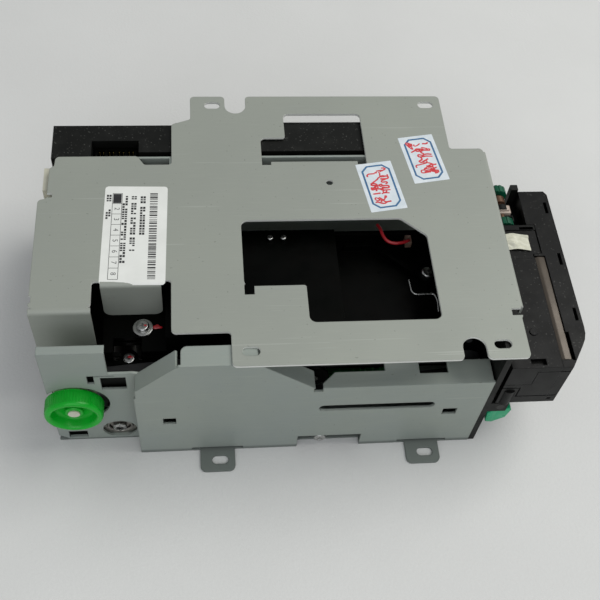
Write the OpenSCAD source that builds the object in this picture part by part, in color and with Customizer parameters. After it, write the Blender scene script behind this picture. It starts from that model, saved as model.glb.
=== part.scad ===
// Motorised card reader unit for a cash machine: a bent-sheet frame with a
// slotted mounting plate on top, a black card chassis, a belt drive with a
// hand knob, and a two-part card mouth with a bezel.
// Millimetres, +Z up, +X towards the card mouth, -Y towards the knob side.
// Origin at the bottom centre of the whole unit.

/* [Frame] */
// Length of the side panel
frame_len = 164; // [140:1:197]
// Width between the outer faces of the side panels
frame_w = 119; // [112:1:143]
// Height of the top face of the mounting plate
plate_z = 84; // [80:1:101]
// Thickness of all bent sheet
sheet_t = 1.2; // [1:0.1:2]
// Outer radius of the sheet bends
bend_r = 2.4; // [2.2:0.2:4]
// How far the rear cover reaches behind the side panel
rear_len = 44; // [43:0.5:52]
// How far the bezel reaches in front of the side panel
mouth_len = 43.5; // [42:0.5:52]
// How far the plate reaches past the far panel
far_over = 39.8; // [36:0.5:47]
// How far the bottom ears stand out of the near panel
ear_out = 12; // [11:0.5:14]

/* [Top plate] */
// Spacing of the mounting slots along the unit
slot_pitch_x = 111; // [100:1:130]
// Length of a mounting slot, end to end
slot_len = 8; // [7:0.5:10]
// Width of a mounting slot
slot_w = 4.5; // [4:0.1:5.2]
// Width of the large cut-out
window_w = 87.5; // [80:0.5:95]
// Depth of the large cut-out
window_d = 57.5; // [50:0.5:60]
// Width of the far cut-out
far_window_w = 52; // [44:0.5:56]
// Drop of the flange along the mouth side
edge_drop = 6; // [4:0.5:9]
// Drop of the rear cover's near wall
wall_drop = 43; // [30:1:43]
// Drop of the middle flap
flap_drop = 24; // [18:0.5:24.5]

/* [Tray] */
// Height of the low part of the near panel
low_z = 60; // [58:0.5:62]
// Depth of the flanges on the near panel
flange_d = 8; // [6:0.5:10]
// Length of the long slot in the near panel
long_slot = 55; // [40:1:60]

/* [Card path] */
// Height of the card above the base
card_z = 56.3; // [55:0.1:57]
// Width of the card channel
card_w = 55; // [54.6:0.1:56]
// Open height of the card channel
card_gap = 2.2; // [1.6:0.1:2.6]
// Width of the mouth block and bezel
mouth_w = 103; // [98:1:110]
// Height of the mouth block and bezel
mouth_h = 32.5; // [30:0.5:33]

/* [Drive] */
// Outer diameter of the hand knob
knob_d = 27; // [22:0.5:28]
// Depth of the hand knob
knob_depth = 8.5; // [7:0.5:9]
// Radius of the rubber feed rollers
feed_r = 8.3; // [7.5:0.1:8.4]
// Radius of the pinch rollers
pinch_r = 6; // [5:0.1:6.5]
// Pitch radius of the feed pulleys
feed_pulley_r = 6.5; // [5:0.1:7]
// Pitch radius of the knob pulley
knob_pulley_r = 9; // [7:0.1:10]
// Pitch radius of the motor pulley
motor_pulley_r = 5.5; // [5:0.1:6]
// Width of the drive belt
belt_w = 6; // [4:0.5:6]
// Diameter of the drive motor
motor_d = 20; // [16:1:21]

/* [Hidden] */
$fn = 48;
eps = 0.01;              // overlap that joins two solids of one piece
run_fit = 0.05;          // radial clearance of a shaft in its bearing
gap = 0.3;               // clearance between bodies that move
total_x = rear_len + frame_len + mouth_len;
total_y = ear_out + frame_w + far_over;
x_rear = -total_x / 2;                 // rear end of the cover
fx0 = x_rear + rear_len;               // rear end of the side panel
fx1 = fx0 + frame_len;                 // front end of the side panel
x_front = total_x / 2;                 // front of the bezel
fy0 = -total_y / 2 + ear_out;          // outer face, near panel
fy1 = fy0 + frame_w;                   // outer face, far panel
y_far = total_y / 2;                   // far edge of the plate
under = plate_z - sheet_t;             // underside of the plate
plate_near = fy0 - 1.2;                // near edge of the plate
xl = fx0 + 17.7;                       // left edge of the plate's wide part
xm = (fx0 + fx1) / 2;                  // middle of the frame
wall_y = fy0 + 28.2;                   // outer face of the cover's near wall
cover_y = fy1 - 0.7;                   // far edge of the rear cover
flap_y = wall_y + 13.7;                // outer face of the middle flap
slit_x0 = fx0 - 17.3;                  // slit beside the near wall
slit_x1 = fx0 - 13.7;
slit_x2 = fx0 + 13.2;                  // slit beside the plate
brk_y = fy0 + 8.5;                     // outer face of the rear bracket
brk_x0 = x_rear + 4.5;
mouth_cy = fy0 + mouth_w / 2;          // centre line of the card
mouth_z1 = card_z + 15.2;              // top of the mouth block
mouth_z0 = mouth_z1 - mouth_h;
bezel_x = x_front - 14.8;              // back of the bezel
frame_x = fx1 + 0.2;                   // back of the front frame plate
frame_t = 2.9;
lug_t = 1.9;                           // gap that the shutter runs in
mouth_x = frame_x + frame_t + lug_t;     // back of the mouth block
chan_y0 = mouth_cy - card_w / 2;       // near edge of the card channel
chan_y1 = mouth_cy + card_w / 2;
rail = 2;                              // chassis wall thickness
ch_y0 = chan_y0 - rail;
ch_y1 = chan_y1 + rail;
ch_x0 = x_rear + 8;
ch_x1 = fx1;
low_top = card_z - card_gap / 2;       // top of the lower guide
up_bot = card_z + card_gap / 2;        // bottom of the upper guide
guide_t = 2.4;
belt_y = ch_y0 - 1.8 - belt_w;         // near face of the belt
knob_x = x_rear + 15.7;
knob_z = card_z - 19.1;
motor_x = fx0 - 9.7;
motor_z = sheet_t + motor_d / 2 + 0.3;
feed_z = card_z - 0.4 - feed_r;
feed_x = [fx0 + 24, xm - 0.3, fx1 - 9.3];
feed_shaft_d = 5;
pinch_shaft_d = 3;
pinch_z = card_z + 0.4 + pinch_r;
knob_shaft_d = 5.5;
hole_d = 30.6;                         // knob hole in the bracket
knob_out = 7.5;                        // how far the knob stands out of the bracket
edge_r = 1.5;                          // bend radius of the mouth-side flange
edge_x = fx1 + 12.2;                   // outer face of the mouth-side flange
flange_high = 10.3;                    // depth of the high flange
box_x = bezel_x + 3.9;                 // front of the mouth block's plug shelf
shelf = 0.6;                           // drop of the plug shelf
shelf_y0 = fy0 + 61.4;
shelf_y1 = fy0 + 81.8;
belt_t = 1.2;
motor_shaft_r = 1.5;
up_wall = 12.5;                        // height of the upper guide's walls

// Piece to show

// ---- helpers -------------------------------------------------------------

// Flat outline in X and Z, as a sheet from y to y + t
module in_xz(y, t) translate([0, y + t, 0]) rotate([90, 0, 0]) linear_extrude(t) children();

// Flat outline in Y and Z, as a sheet from x to x + t
module in_yz(x, t) translate([x, 0, 0]) rotate([90, 0, 90]) linear_extrude(t) children();

// Cylinder along Y from y to y + l
module rod_y(x, y, z, r, l) translate([x, y + l, z]) rotate([90, 0, 0]) cylinder(r = r, h = l);

// Block from its low corner
module block(x, y, z, sx, sy, sz) translate([x, y, z]) cube([sx, sy, sz]);

// Rounded slot along X, centred
module slot_2d(l, w) {
  square([l - w, w], center = true);
  for (s = [-1, 1]) translate([s * (l - w) / 2, 0]) circle(d = w);
}

// Rounds the outer and the inner corners of an outline
module soften(r_out, r_in) offset(r_out) offset(-r_out - r_in) offset(r_in) children();

// Bent lip: outward along +X, quarter bend of radius r, then down by drop
module lip_2d(drop, r = bend_r) {
  translate([0, -r]) intersection() {
    difference() { circle(r); circle(r - sheet_t); }
    square(r);
  }
  translate([r - sheet_t, -drop]) square([sheet_t, drop - r + eps]);
  translate([-eps, -sheet_t]) square([2 * eps, sheet_t]);
}

// Lip along X on a near edge, outer face at y
module lip_near(x0, x1, y, drop) translate([x0, y + bend_r, plate_z]) rotate([0, 0, -90])
  translate([0, x1 - x0, 0]) rotate([90, 0, 0]) linear_extrude(x1 - x0) lip_2d(drop);

// Lip along X on the near side of a cut-out, facing away
module lip_far(x0, x1, y, drop) translate([x1, y - bend_r, plate_z]) rotate([0, 0, 90])
  translate([0, x1 - x0, 0]) rotate([90, 0, 0]) linear_extrude(x1 - x0) lip_2d(drop);

// Lip along Y on the mouth side, outer face at x
module lip_front(y0, y1, x, drop) translate([x - edge_r, y1, plate_z]) rotate([90, 0, 0])
  linear_extrude(y1 - y0) lip_2d(drop, edge_r);

// Pan head with a cross recess and a shank, standing on z, along +Z
module pan_head(r, h, shank_r, shank_l) {
  difference() {
    cylinder(r1 = r, r2 = r * 0.72, h = h);
    translate([0, 0, h * 0.55]) for (a = [0, 90]) rotate(a)
      translate([-r * 0.55, -r * 0.1, 0]) cube([r * 1.1, r * 0.2, h]);
  }
  translate([0, 0, -shank_l]) cylinder(r = shank_r, h = shank_l + eps);
}

// ---- sheet metal ---------------------------------------------------------

far_slot_x = xm + 12.2;      // centre of the two far slots
near_slot_x = xm + 25.1;     // centre of the two near slots
far_slot_y = y_far - 6.3;
near_slot_y = plate_near + 7.3;
win_x0 = xm - 31.8;          // large cut-out, left edge
win_y1 = fy0 + 77.5;         // large cut-out, far edge
step_x = win_x0 + 28;        // step in its near edge
step_y = win_y1 - 37.5;
fwin_x0 = xm - 19.8;         // far cut-out, left edge
fwin_y0 = fy1 - 5.1;         // far cut-out, near edge
relief = 4.5;                // width of a bend relief

module plate_outline() {
  ear = 17.5;                // width of the far rear ear
  notch_w = 10.6;
  plug_gap = 2.4;            // relief beside the rear plug
  difference() {
    soften(2.2, 1.6) difference() {
      polygon([
        [xl, fy0 + 16.2], [xm - 38.6, fy0 + 16.2], [xm - 38.6, plate_near],
        [fx1 + 10, plate_near], [fx1 + 10, fy0 + 20.2],
        [edge_x - edge_r, fy0 + 20.2], [edge_x - edge_r, fy1 + 2.6],
        [fx1 - 6.4, fy1 + 2.6], [fx1 - 6.4, y_far],
        [fx0 + 27.6, y_far], [fx0 + 27.6, y_far - 16], [xl + 0.4, y_far - 19.4],
        [xl + 0.4, fy1 - 6.3], [fx0 + 5, fy1 - 6.3], [fx0 + 1.5, cover_y],
        [x_rear + 6.6, cover_y], [x_rear + 6.2, cover_y - 6.2], [x_rear + 4.2, cover_y - 7],
        [x_rear + 4, fy0 + 92.2], [x_rear, fy0 + 91.4],
        [x_rear, wall_y + bend_r], [slit_x0, wall_y + bend_r], [slit_x0, flap_y + bend_r],
        [xl, flap_y + bend_r]]);
      // U notches beside the far rear ear and the near front ear
      translate([fx0 + 27.6 + ear + notch_w / 2, y_far - 6.7]) slot_notch(notch_w, 7);
      translate([fx1 - 14.4, plate_near + 6]) rotate(180) slot_notch(notch_w, 6.5);
    }
    translate([x_rear + 3, fy0 + 93]) square([3.4, plug_gap]);
    translate([x_rear - 1, wall_y + 5.4]) square([1.9, 3.8]);
  }
}

// Square corner less its rounding of radius r
module corner_2d(r) difference() {
  translate([-1, -1]) square(r + 1);
  translate([r, r]) circle(r);
}

// U notch open towards +Y
module slot_notch(w, d) {
  circle(d = w);
  translate([-w / 2, 0]) square([w, d + 3]);
}

module large_window() {
  soften(3.2, 1.2) polygon([
    [win_x0, win_y1], [win_x0, step_y], [step_x, step_y],
    [step_x, win_y1 - window_d], [win_x0 + window_w, win_y1 - window_d],
    [win_x0 + window_w, win_y1 - 10.5], [win_x0 + window_w - 11.5, win_y1]]);
  translate([win_x0, step_y - 4.5]) square([relief, 6]);
}

module far_window() {
  soften(2.4, 1.6) polygon([
    [fwin_x0, fwin_y0], [fwin_x0 + far_window_w, fwin_y0],
    [fwin_x0 + far_window_w, fwin_y0 + 32.3], [fwin_x0 + 12.4, fwin_y0 + 32.3],
    [fwin_x0 + 12.4, fwin_y0 + 16], [fwin_x0, fwin_y0 + 16]]);
  for (x = [fwin_x0, fwin_x0 + far_window_w - relief])
    translate([x, fwin_y0 - 2]) square([relief, 4]);
}

module top_plate() color([0.57, 0.59, 0.55]) {
  difference() {
    translate([0, 0, under]) linear_extrude(sheet_t) difference() {
      plate_outline();
      large_window();
      far_window();
      for (s = [-1, 1]) {
        translate([far_slot_x + s * slot_pitch_x / 2, far_slot_y]) slot_2d(slot_len, slot_w);
        translate([near_slot_x + s * slot_pitch_x / 2, near_slot_y]) slot_2d(slot_len, slot_w);
      }
      translate([xm + 12.4, fy0 + 100.3]) circle(d = 3.4);
      translate([fx1 + 6, fy0 + 21]) square([8, 3.6]);
    }
  }
  lip_near(x_rear, slit_x0, wall_y, wall_drop);
  difference() {
    lip_near(slit_x1, slit_x2, flap_y, flap_drop);
    // rounded lower corners of the middle flap
    for (m = [0, 1]) translate([m * (slit_x1 + slit_x2), flap_y - 1, plate_z - flap_drop]) mirror([m, 0, 0])
      translate([slit_x1, 0, 0]) rotate([90, 0, 0]) mirror([0, 0, 1]) linear_extrude(sheet_t + 2) corner_2d(4);
  }
  lip_front(fy0 + 25.7, fy1 + 0.4, edge_x, edge_drop);
  lip_far(win_x0 + relief + 0.6, step_x - 2.6, step_y, 7);
  lip_far(fwin_x0 + relief + 0.6, fwin_x0 + far_window_w - relief - 0.6, fwin_y0, 7);
}

// Near panel: high part with two sloping shoulders, low part towards the mouth
panel_a = fx0 + 20.6;        // top of the rear shoulder
panel_b = xm - 27.4;         // start of the front shoulder
panel_c = xm - 1;            // foot of the front shoulder
panel_side = low_z + 2;      // height of the rear edge

module near_panel() in_xz(fy0, sheet_t) difference() {
  polygon([[fx0, 0], [fx1 - 1.5, 0], [fx1, 1.5], [fx1, low_z], [panel_c, low_z],
    [panel_b, under], [panel_a, under], [fx0 + 0.8, panel_side], [fx0 + 0.8, panel_side - 6],
    [fx0, panel_side - 6.6]]);
  translate([xm + 29.8, card_z - 16]) slot_2d(long_slot, 5.4);
  translate([fx0 + 12, card_z - 26.6]) square([6, 5.8]);
  translate([fx1 - 19.6, card_z - 26.6]) square([6.9, 5.8]);
  translate([xm - 5.6, -1]) square([31.4, 12.4]);
  translate([panel_c - 0.6, low_z - 3.4]) square([4.2, 5]);
}

// Sloping flange that follows one shoulder of the near panel
module slope_flange(x0, z0, x1, z1, d) {
  len = sqrt((x1 - x0) * (x1 - x0) + (z1 - z0) * (z1 - z0));
  translate([x0, fy0, z0]) rotate([0, -atan2(z1 - z0, x1 - x0), 0])
    translate([0, 0, -sheet_t]) cube([len, d, sheet_t]);
}

module bottom_ear(x, w) difference() {
  linear_extrude(sheet_t) difference() {
    soften(3, 0.01) translate([x - w / 2, fy0 - ear_out]) square([w, ear_out + 8]);
    translate([x + 1.2, fy0 - ear_out + 6]) slot_2d(slot_len, slot_w);
  }
}

ear_x = [fx0 + 37.2, fx1 - 24.6];
module tray() color([0.6, 0.62, 0.59]) {
  difference() {
    union() {
      near_panel();
      in_xz(fy1 - sheet_t, sheet_t) difference() {
        polygon([[fx0, 0], [fx1, 0], [fx1, under], [fx0, under]]);
        for (x = [fx0 + 24, xm, fx1 - 24]) translate([x, plate_z / 2]) slot_2d(30, 14);
      }
      block(fx0, fy0, 0, frame_len, frame_w, sheet_t);
      block(brk_x0, brk_y, 0, fx0 - brk_x0 + eps, fy1 - brk_y, sheet_t);
      // flanges of the near panel
      in_xy(under - sheet_t, sheet_t) difference() {
        translate([panel_a + 0.9, fy0]) square([panel_b - panel_a - 0.9, flange_high]);
        translate([panel_a + 0.9, fy0 + flange_high]) rotate(-90) corner_2d(3);
      }
      in_xy(low_z - sheet_t, sheet_t) polygon([[panel_c + 3.6, fy0], [fx1 - 0.5, fy0],
        [fx1 - 0.5, fy0 + flange_d], [panel_c + 9.6, fy0 + flange_d], [panel_c + 3.6, fy0 + 2.4]]);
      block(xm + 31.6, fy0, low_z - sheet_t, fx1 - xm - 32.1, flange_d + 4.6, sheet_t);
      slope_flange(fx0 + 0.8, panel_side, panel_a - 1.4, under - 0.9, flange_d + 1);
      slope_flange(panel_b + 0.6, under - 0.6, panel_c, low_z, flange_d + 1);
      // flange of the far panel
      block(fx0 + 17, fy1 - 10, under - sheet_t, frame_len - 34, 10, sheet_t);
    }
    // notch in the deep part of the low flange
    block(xm + 47.6, fy0 + 6.1, low_z - sheet_t - 1, 13.2, flange_d, sheet_t + 2);
    // relief cuts over the bottom ears
    for (x = ear_x) block(x - 12.5, fy0 - 1, sheet_t, 25, sheet_t + 1 + eps, 2);
    // gap in the far flange for the lip of the plate's far cut-out
    block(fwin_x0 - 1, fwin_y0 - bend_r - 1, under - sheet_t - 1, far_window_w + 2,
      fy1 - sheet_t - fwin_y0 + bend_r + 1, sheet_t + 2);
    // cut-out of the floor behind the notch of the near panel
    block(xm - 5.6, fy0 - 1, -1, 31.4, 4.6, sheet_t + 2);
    // cable opening in the floor
    translate([fx0 + 44, fy1 - 16, -1]) linear_extrude(sheet_t + 2) slot_2d(34, 12);
  }
  for (x = ear_x) bottom_ear(x, 17);
}

brk_step = fx0 - 11;         // right edge of the bracket's high part
module rear_bracket() color([0.6, 0.62, 0.6]) {
  difference() {
    in_xz(brk_y, sheet_t) difference() {
      polygon([[brk_x0 + 5, sheet_t], [fx0 + 12, sheet_t], [fx0 + 12, card_z + 4], [fx0, card_z + 7.5],
        [brk_step, card_z + 7.5], [brk_step, under - 1], [brk_x0, under - 1], [brk_x0, sheet_t + 4]]);
      translate([knob_x + 0.8, knob_z]) circle(d = hole_d);
      translate([motor_x, motor_z - 1.7]) circle(d = 16.4);
      translate([brk_step - 3.6, card_z - 6.4]) square([11.2, 10.6]);
      translate([brk_step - 9.4, card_z - 1]) square([3, 7]);
      translate([brk_step - 9.4, card_z + 5.2]) square([12, 0.8]);
      translate([knob_x - 6.3, sheet_t + 0.9]) square([9, 6.8]);
    }
  }
  // top and bottom flanges
  block(brk_x0, brk_y, under - 1 - sheet_t, brk_step - brk_x0, 4.2, sheet_t);
  block(brk_x0 + 5, brk_y, sheet_t, fx0 + 7 - brk_x0, 12, sheet_t);
}

// ---- front end -----------------------------------------------------------

module front_frame() color([0.12, 0.12, 0.12]) difference() {
  union() {
    block(frame_x, fy0 + 0.3, 0, frame_t, mouth_w, under - 0.6);
    for (y = [fy0 + 4, fy0 + mouth_w - 11]) for (z = [mouth_z0 + 3, card_z + 4])
      block(frame_x + frame_t - eps, y, z, lug_t + eps, 7, 9);
    for (y = [fy0 + 0.3, fy0 + 12.3]) block(frame_x + frame_t - eps, y, lever_z - 4, 9, 2.4, 8);
  }
  rod_y(lever_x, fy0 - 1, lever_z, lever_pin_r, 18);
  // card window and openings for the solenoid wires
  block(frame_x - 1, chan_y0, low_top - 0.6, frame_t + 2, card_w, card_gap + 1.2);
  block(frame_x - 1, mouth_cy - 30, 8, frame_t + 2, 22, 24);
  block(frame_x - 1, mouth_cy + 4, 8, frame_t + 2, 26, 24);
}

// Half of the mouth block. The parting face steps up near the near end.
module mouth_lower() color([0.13, 0.13, 0.13]) difference() {
  union() {
    block(mouth_x, fy0 + 0.3, mouth_z0, bezel_x - mouth_x, mouth_w, card_z - mouth_z0 - 0.1);
    block(mouth_x + 13, fy0 + 0.3, card_z - 0.1 - eps, bezel_x - mouth_x - 13, 5, 11.4);
  }
  block(mouth_x - 1, chan_y0, low_top - 0.4, bezel_x - mouth_x + 2, card_w, card_gap);
  // hollow underside with ribs
  for (i = [0:2]) block(mouth_x + 3, fy0 + 8 + i * 31, mouth_z0 - 1, 17, 26, 11);
  // stepped parting line on the near face
  block(mouth_x - 1, fy0 - 0.2, card_z - 3.4, 9.6, 0.9, 0.7);
  block(mouth_x + 7.9, fy0 - 0.2, mouth_z0 + 5.8, 0.7, 0.9, card_z - mouth_z0 - 8.6);
  block(mouth_x + 7.9, fy0 - 0.2, mouth_z0 + 5.8, bezel_x - mouth_x, 0.9, 0.7);
}

module mouth_upper() color([0.16, 0.16, 0.16]) difference() {
  union() {
    block(mouth_x, fy0 + 0.3, card_z + 0.1, bezel_x - mouth_x, mouth_w, 6);
    block(mouth_x, fy0 + 0.3, card_z + 6, bezel_x - mouth_x, shelf_y1 - fy0 - 0.3, mouth_z1 - card_z - 6);
    translate([mouth_x + 13.8, fy0 + 19.4, mouth_z1 - eps]) cylinder(r = 1.9, h = 0.5);
    block(bezel_x - eps, shelf_y0 + 3, mouth_z1 - 7.9, box_x - bezel_x, shelf_y1 - shelf_y0 - 3, 7.9);
  }
  block(mouth_x - 1, chan_y0, card_z - 1, bezel_x - mouth_x + 2, card_w, 1 + card_gap / 2 + 0.2);
  block(mouth_x + 12.8, fy0 - 1, card_z - 1, bezel_x - mouth_x, 6.5, 12.6);
  // shallow pocket and vent beside the near face
  block(mouth_x + 9.2, fy0 + 1.9, mouth_z1 - 2.5, 7.2, 3.2, 4);
  // shelf for the plug, with a slot at its far end
  block(mouth_x - 1, shelf_y0, mouth_z1 - shelf, box_x - mouth_x + 2, shelf_y1 - shelf_y0 - 3, 1);
  block(box_x - 8, shelf_y1 - 2.8, mouth_z1 - 5, 7, 1.6, 6);
  rod_y(gate_x, fy0 + 77, gate_z, gate_r + run_fit, 6);
  // well under the gate wheels
  block(mouth_x + 3, fy0 + 82.4, card_z + 4, 18, 23.6, 10);
}

module bezel() color([0.12, 0.12, 0.12]) difference() {
  translate([0, 0, mouth_z0]) linear_extrude(mouth_h) polygon([
    [bezel_x, fy0 + 0.3], [x_front - 10, fy0 + 0.3], [x_front - 3, fy0 + 11.6],
    [x_front - 1.3, fy0 + 14.7], [x_front - 0.3, fy0 + 18], [x_front, fy0 + 21.5],
    [x_front, fy0 + mouth_w - 2], [x_front - 1.5, fy0 + mouth_w + 0.3], [bezel_x, fy0 + mouth_w + 0.3]]);
  // card slot with a flared entry
  block(bezel_x - 1, chan_y0, low_top - 0.2, 20, card_w, card_gap + 0.4);
  translate([x_front, 0, card_z]) rotate([0, 0, 0]) translate([0, chan_y0, 0])
    rotate([-90, 0, 0]) linear_extrude(card_w) polygon([[-5, -1.2], [0.1, -4], [0.1, 4], [-5, 1.2]]);
  // shallow finger recess around the slot
  translate([x_front + 9, mouth_cy, card_z - 7]) cylinder(r = 12, h = 14);
  // three short slots along the front edge
  for (i = [-1:1]) block(x_front - 3.2, mouth_cy + 9.1 + i * 32 - 3.5, mouth_z1 - 6, 1.5, 7, 7);
  // room for the plug shelf, and the seat of the strip
  block(bezel_x - 1, shelf_y0 + 2.8, mouth_z1 - 8, box_x - bezel_x + 1.2, shelf_y1 - shelf_y0 - 2.6, 9);
  block(bezel_x - 1, fy0 + 4.3, mouth_z1 - 1.2, 6.2, 58.4, 2);
  block(bezel_x + 0.6, fy0 - 0.2, mouth_z0 + 2.4, 1.8, 1.6, 1.4);
  // slit at the near end and steps of the near face
  block(x_front - 9.6, fy0 + 4, mouth_z1 - 8, 1.4, 15, 9);
  block(bezel_x - 1, fy0 - 0.2, card_z + 11, 6.5, 0.9, 0.7);
  block(bezel_x - 1, fy0 - 0.2, mouth_z0 + 5.8, 6, 0.9, 0.7);
  // hollow behind
  for (z = [mouth_z0 + 3, card_z + 4.2]) block(bezel_x - 1, fy0 + 9, z, 7.5, mouth_w - 18, 8);
}

module bezel_strip() color([0.55, 0.47, 0.36]) {
  block(bezel_x, fy0 + 4.6, mouth_z1 - 1.2, 5, 57.8, 0.5);
  in_xz(fy0 + 4.6, 57.8) polygon([[bezel_x, mouth_z1 - 0.8], [bezel_x + 5, mouth_z1 - 0.8],
    [bezel_x + 5, mouth_z1 - 0.2], [bezel_x + 1.4, mouth_z1 - 0.2]]);
}

gate_x = mouth_x + 14.2;
gate_z = card_z + 10.5;
gate_r = 1.5;
gate_y = fy0 + 93;           // near face of the bearing arm
module gate_arm() color([0.1, 0.1, 0.1]) {
  difference() {
    in_xz(gate_y, 3) union() {
      translate([gate_x, gate_z]) circle(r = 4);
      translate([gate_x - 4, card_z + 4]) square([8, gate_z - card_z - 4]);
    }
    rod_y(gate_x, gate_y - 1, gate_z, gate_r + run_fit, 5);
  }
  // stop beside the far wheel
  block(bezel_x - 3.6, fy0 + mouth_w + 0.3, card_z + 4, 3.6, 3.4, 12.6);
}

wheel_y = [fy0 + 83.3, fy0 + mouth_w + 0.9];
module gate_shaft() color([0.5, 0.42, 0.36]) {
  rod_y(gate_x, fy0 + 78, gate_z, gate_r, wheel_y[1] + 4 - fy0 - 78);
  rod_y(gate_x, fy0 + 98.4, gate_z, 3.2, 3.8);
}

module gate_wheels() color([0.12, 0.5, 0.38]) for (y = wheel_y) difference() {
  rod_y(gate_x, y, gate_z, 4.8, 4);
  rod_y(gate_x, y - 1, gate_z, gate_r, 6);
  for (a = [0:30:330]) translate([gate_x, 0, gate_z]) rotate([0, a, 0])
    translate([4.9, y - 1, 0]) rotate([-90, 0, 0]) cylinder(r = 0.5, h = 6, $fn = 12);
}

// Half-round post at the foot of the mouth block's near face
module latch_hook() color([0.15, 0.15, 0.15]) difference() {
  rod_z(mouth_x + 4.2, fy0 + 2.4, mouth_z0 - 0.6, 3.3, 12);
  block(mouth_x, fy0 + 0.3, mouth_z0, 9, 7, 14);
}

lever_x = frame_x + frame_t + 5.6;
lever_z = card_z - 22;
lever_pin_r = 2;
module lever_pin() color([0.7, 0.7, 0.7]) rod_y(lever_x, fy0 + 0.3, lever_z, lever_pin_r, 14.4);
module release_lever() color([0.18, 0.6, 0.45]) difference() {
  union() {
    rod_y(lever_x, fy0 + 3, lever_z, 3.4, 9);
    block(lever_x - 1.8, fy0 + 3, lever_z - 16, 3.6, 9, 16);
    translate([lever_x, fy0 + 3, lever_z]) in_xz(0, 6.5)
      polygon([[-2.3, -20.3], [1, -21], [7, -16.3], [8.3, -8.8], [7.3, -6.6], [-3.3, -11.1]]);
  }
  rod_y(lever_x, fy0 + 2, lever_z, lever_pin_r + run_fit, 12);
}

// ---- card chassis --------------------------------------------------------

legs = [[ch_x0 + 3, ch_y0 + 10], [ch_x0 + 3, ch_y1 - 9], [fx0 + 26, ch_y0 + 1], [fx0 + 26, ch_y1 - 8],
  [fx1 - 10, ch_y0 + 1], [fx1 - 10, ch_y1 - 8]];
module lower_guide() color([0.09, 0.09, 0.09]) difference() {
  union() {
    block(ch_x0, ch_y0 + 7.5, low_top - guide_t, slit_x0 - ch_x0 + 1, card_w + 2 * rail - 7.5, guide_t);
    block(slit_x0 + 1 - eps, ch_y0, low_top - guide_t, ch_x1 - slit_x0 - 1, card_w + 2 * rail, guide_t);
    // bearing walls and rear wall
    for (y = [ch_y0, ch_y1 - rail])
      block(slit_x0 + 1, y, feed_z - 9, ch_x1 - slit_x0 - 1, rail, low_top - feed_z + 9 - eps);
    block(ch_x0, ch_y0 + 7.5, feed_z - 9, rail, card_w - 5.5, low_top - feed_z + 9 - eps);
    block(ch_x0, ch_y0 + 7.5, knob_z - 6, slit_x0 - ch_x0 + 1, rail, low_top - knob_z + 5.9);
    rod_y(knob_x, ch_y0 + 7.5, knob_z, 6, 9);
    for (p = legs) block(p[0], p[1], sheet_t, 7, 7, low_top - sheet_t - guide_t + eps);
    // cheeks that carry the magnetic head
    for (s = [-1, 1]) block(head_x - 3, head_y + s * 6.4 - 0.8, low_top - 9, 6, 1.6, 9 - guide_t + eps);
    // screw pillars at the near side
    rod_z(fx0 + 4, fy0 + 34.3, feed_z - 9, 4.4, low_top - feed_z + 9);
    rod_z(fx0 - 3, fy0 + 25, feed_z - 3, 4.4, low_top - feed_z - 3);
  }
  for (x = feed_x) {
    for (s = [-1, 1]) block(x - feed_r - 1, mouth_cy + s * 14 - 6.2, low_top - guide_t - 1,
      2 * feed_r + 2, 12.4, guide_t + 2);
    rod_y(x, ch_y0 - 1, feed_z, feed_shaft_d / 2 + run_fit, card_w + 2 * rail + 2);
  }
  // openings for the magnetic head, the knob shaft and the recessed screw
  rod_y(head_x, head_y - 8, low_top - 6, head_pin_r + run_fit, 16);
  block(head_x - 7, head_y - 6.2, low_top - guide_t - 1, 14, 12.4, guide_t + 2);
  rod_y(knob_x, ch_y0, knob_z, knob_shaft_d / 2 + run_fit, 30);
  rod_z(fx0 - 3, fy0 + 25, low_top - 7.6, 3.1, 12);
  screw_well(low_top - 6, 7);
}

// Open well round the recessed screw, from z to z + h
module screw_well(z, h) block(fx0 - 9.5, ch_y0 - 1, z, 13, 8.6, h);

// Cylinder along Z from z to z + l
module rod_z(x, y, z, r, l) translate([x, y, z]) cylinder(r = r, h = l);

up_x0 = fx0 - 14;
wall_x = slit_x2 + 1.4;      // start of the upper guide's walls
module upper_guide() color([0.1, 0.1, 0.1]) difference() {
  union() {
    block(up_x0, ch_y0, up_bot, ch_x1 - up_x0, card_w + 2 * rail, guide_t);
    for (y = [ch_y0, ch_y1 - rail]) block(wall_x, y, up_bot, ch_x1 - wall_x, rail, up_wall);
    for (x = [wall_x, ch_x1 - rail]) block(x, ch_y0, up_bot, rail, card_w + 2 * rail, up_wall);
    // raised ridge that turns down towards the mouth
    translate([0, 0, up_bot + guide_t - eps]) linear_extrude(4) union() {
      stroke([xm + 19.5, ch_y1 - rail - 1.6], [xm + 34, ch_y1 - rail - 1.6], 2);
      stroke([xm + 33.5, ch_y1 - rail - 1.6], [xm + 52, mouth_cy + 9.3], 2);
    }
    // screw boss
    rod_z(xm + 58.2, mouth_cy + 7.7, up_bot, 4.4, 6);
    // side spacers that carry the guide on the lower chassis
    for (x = [up_x0, ch_x1 - 8]) for (y = [ch_y0, ch_y1 - rail])
      block(x, y, low_top, 8, rail, up_bot - low_top + eps);
  }
  for (x = feed_x) for (s = [-1, 1])
    block(x - pinch_r - 1, mouth_cy + s * 14 - 6.2, up_bot - 1, 2 * pinch_r + 2, 12.4, guide_t + 2);
  for (x = feed_x) rod_y(x, ch_y0 - 1, pinch_z, pinch_shaft_d / 2 + run_fit, card_w + 2 * rail + 2);
  block(chip_x - 9.4, mouth_cy - 9.4, up_bot - 1, 18.8, 18.8, guide_t + 2);
  rod_z(fx0 + 4, fy0 + 34.3, up_bot - 1, 2.6, 6);
  screw_well(up_bot - 1, guide_t + 2);
}

// Flat outline in X and Y, from z to z + t
module in_xy(z, t) translate([0, 0, z]) linear_extrude(t) children();

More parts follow.
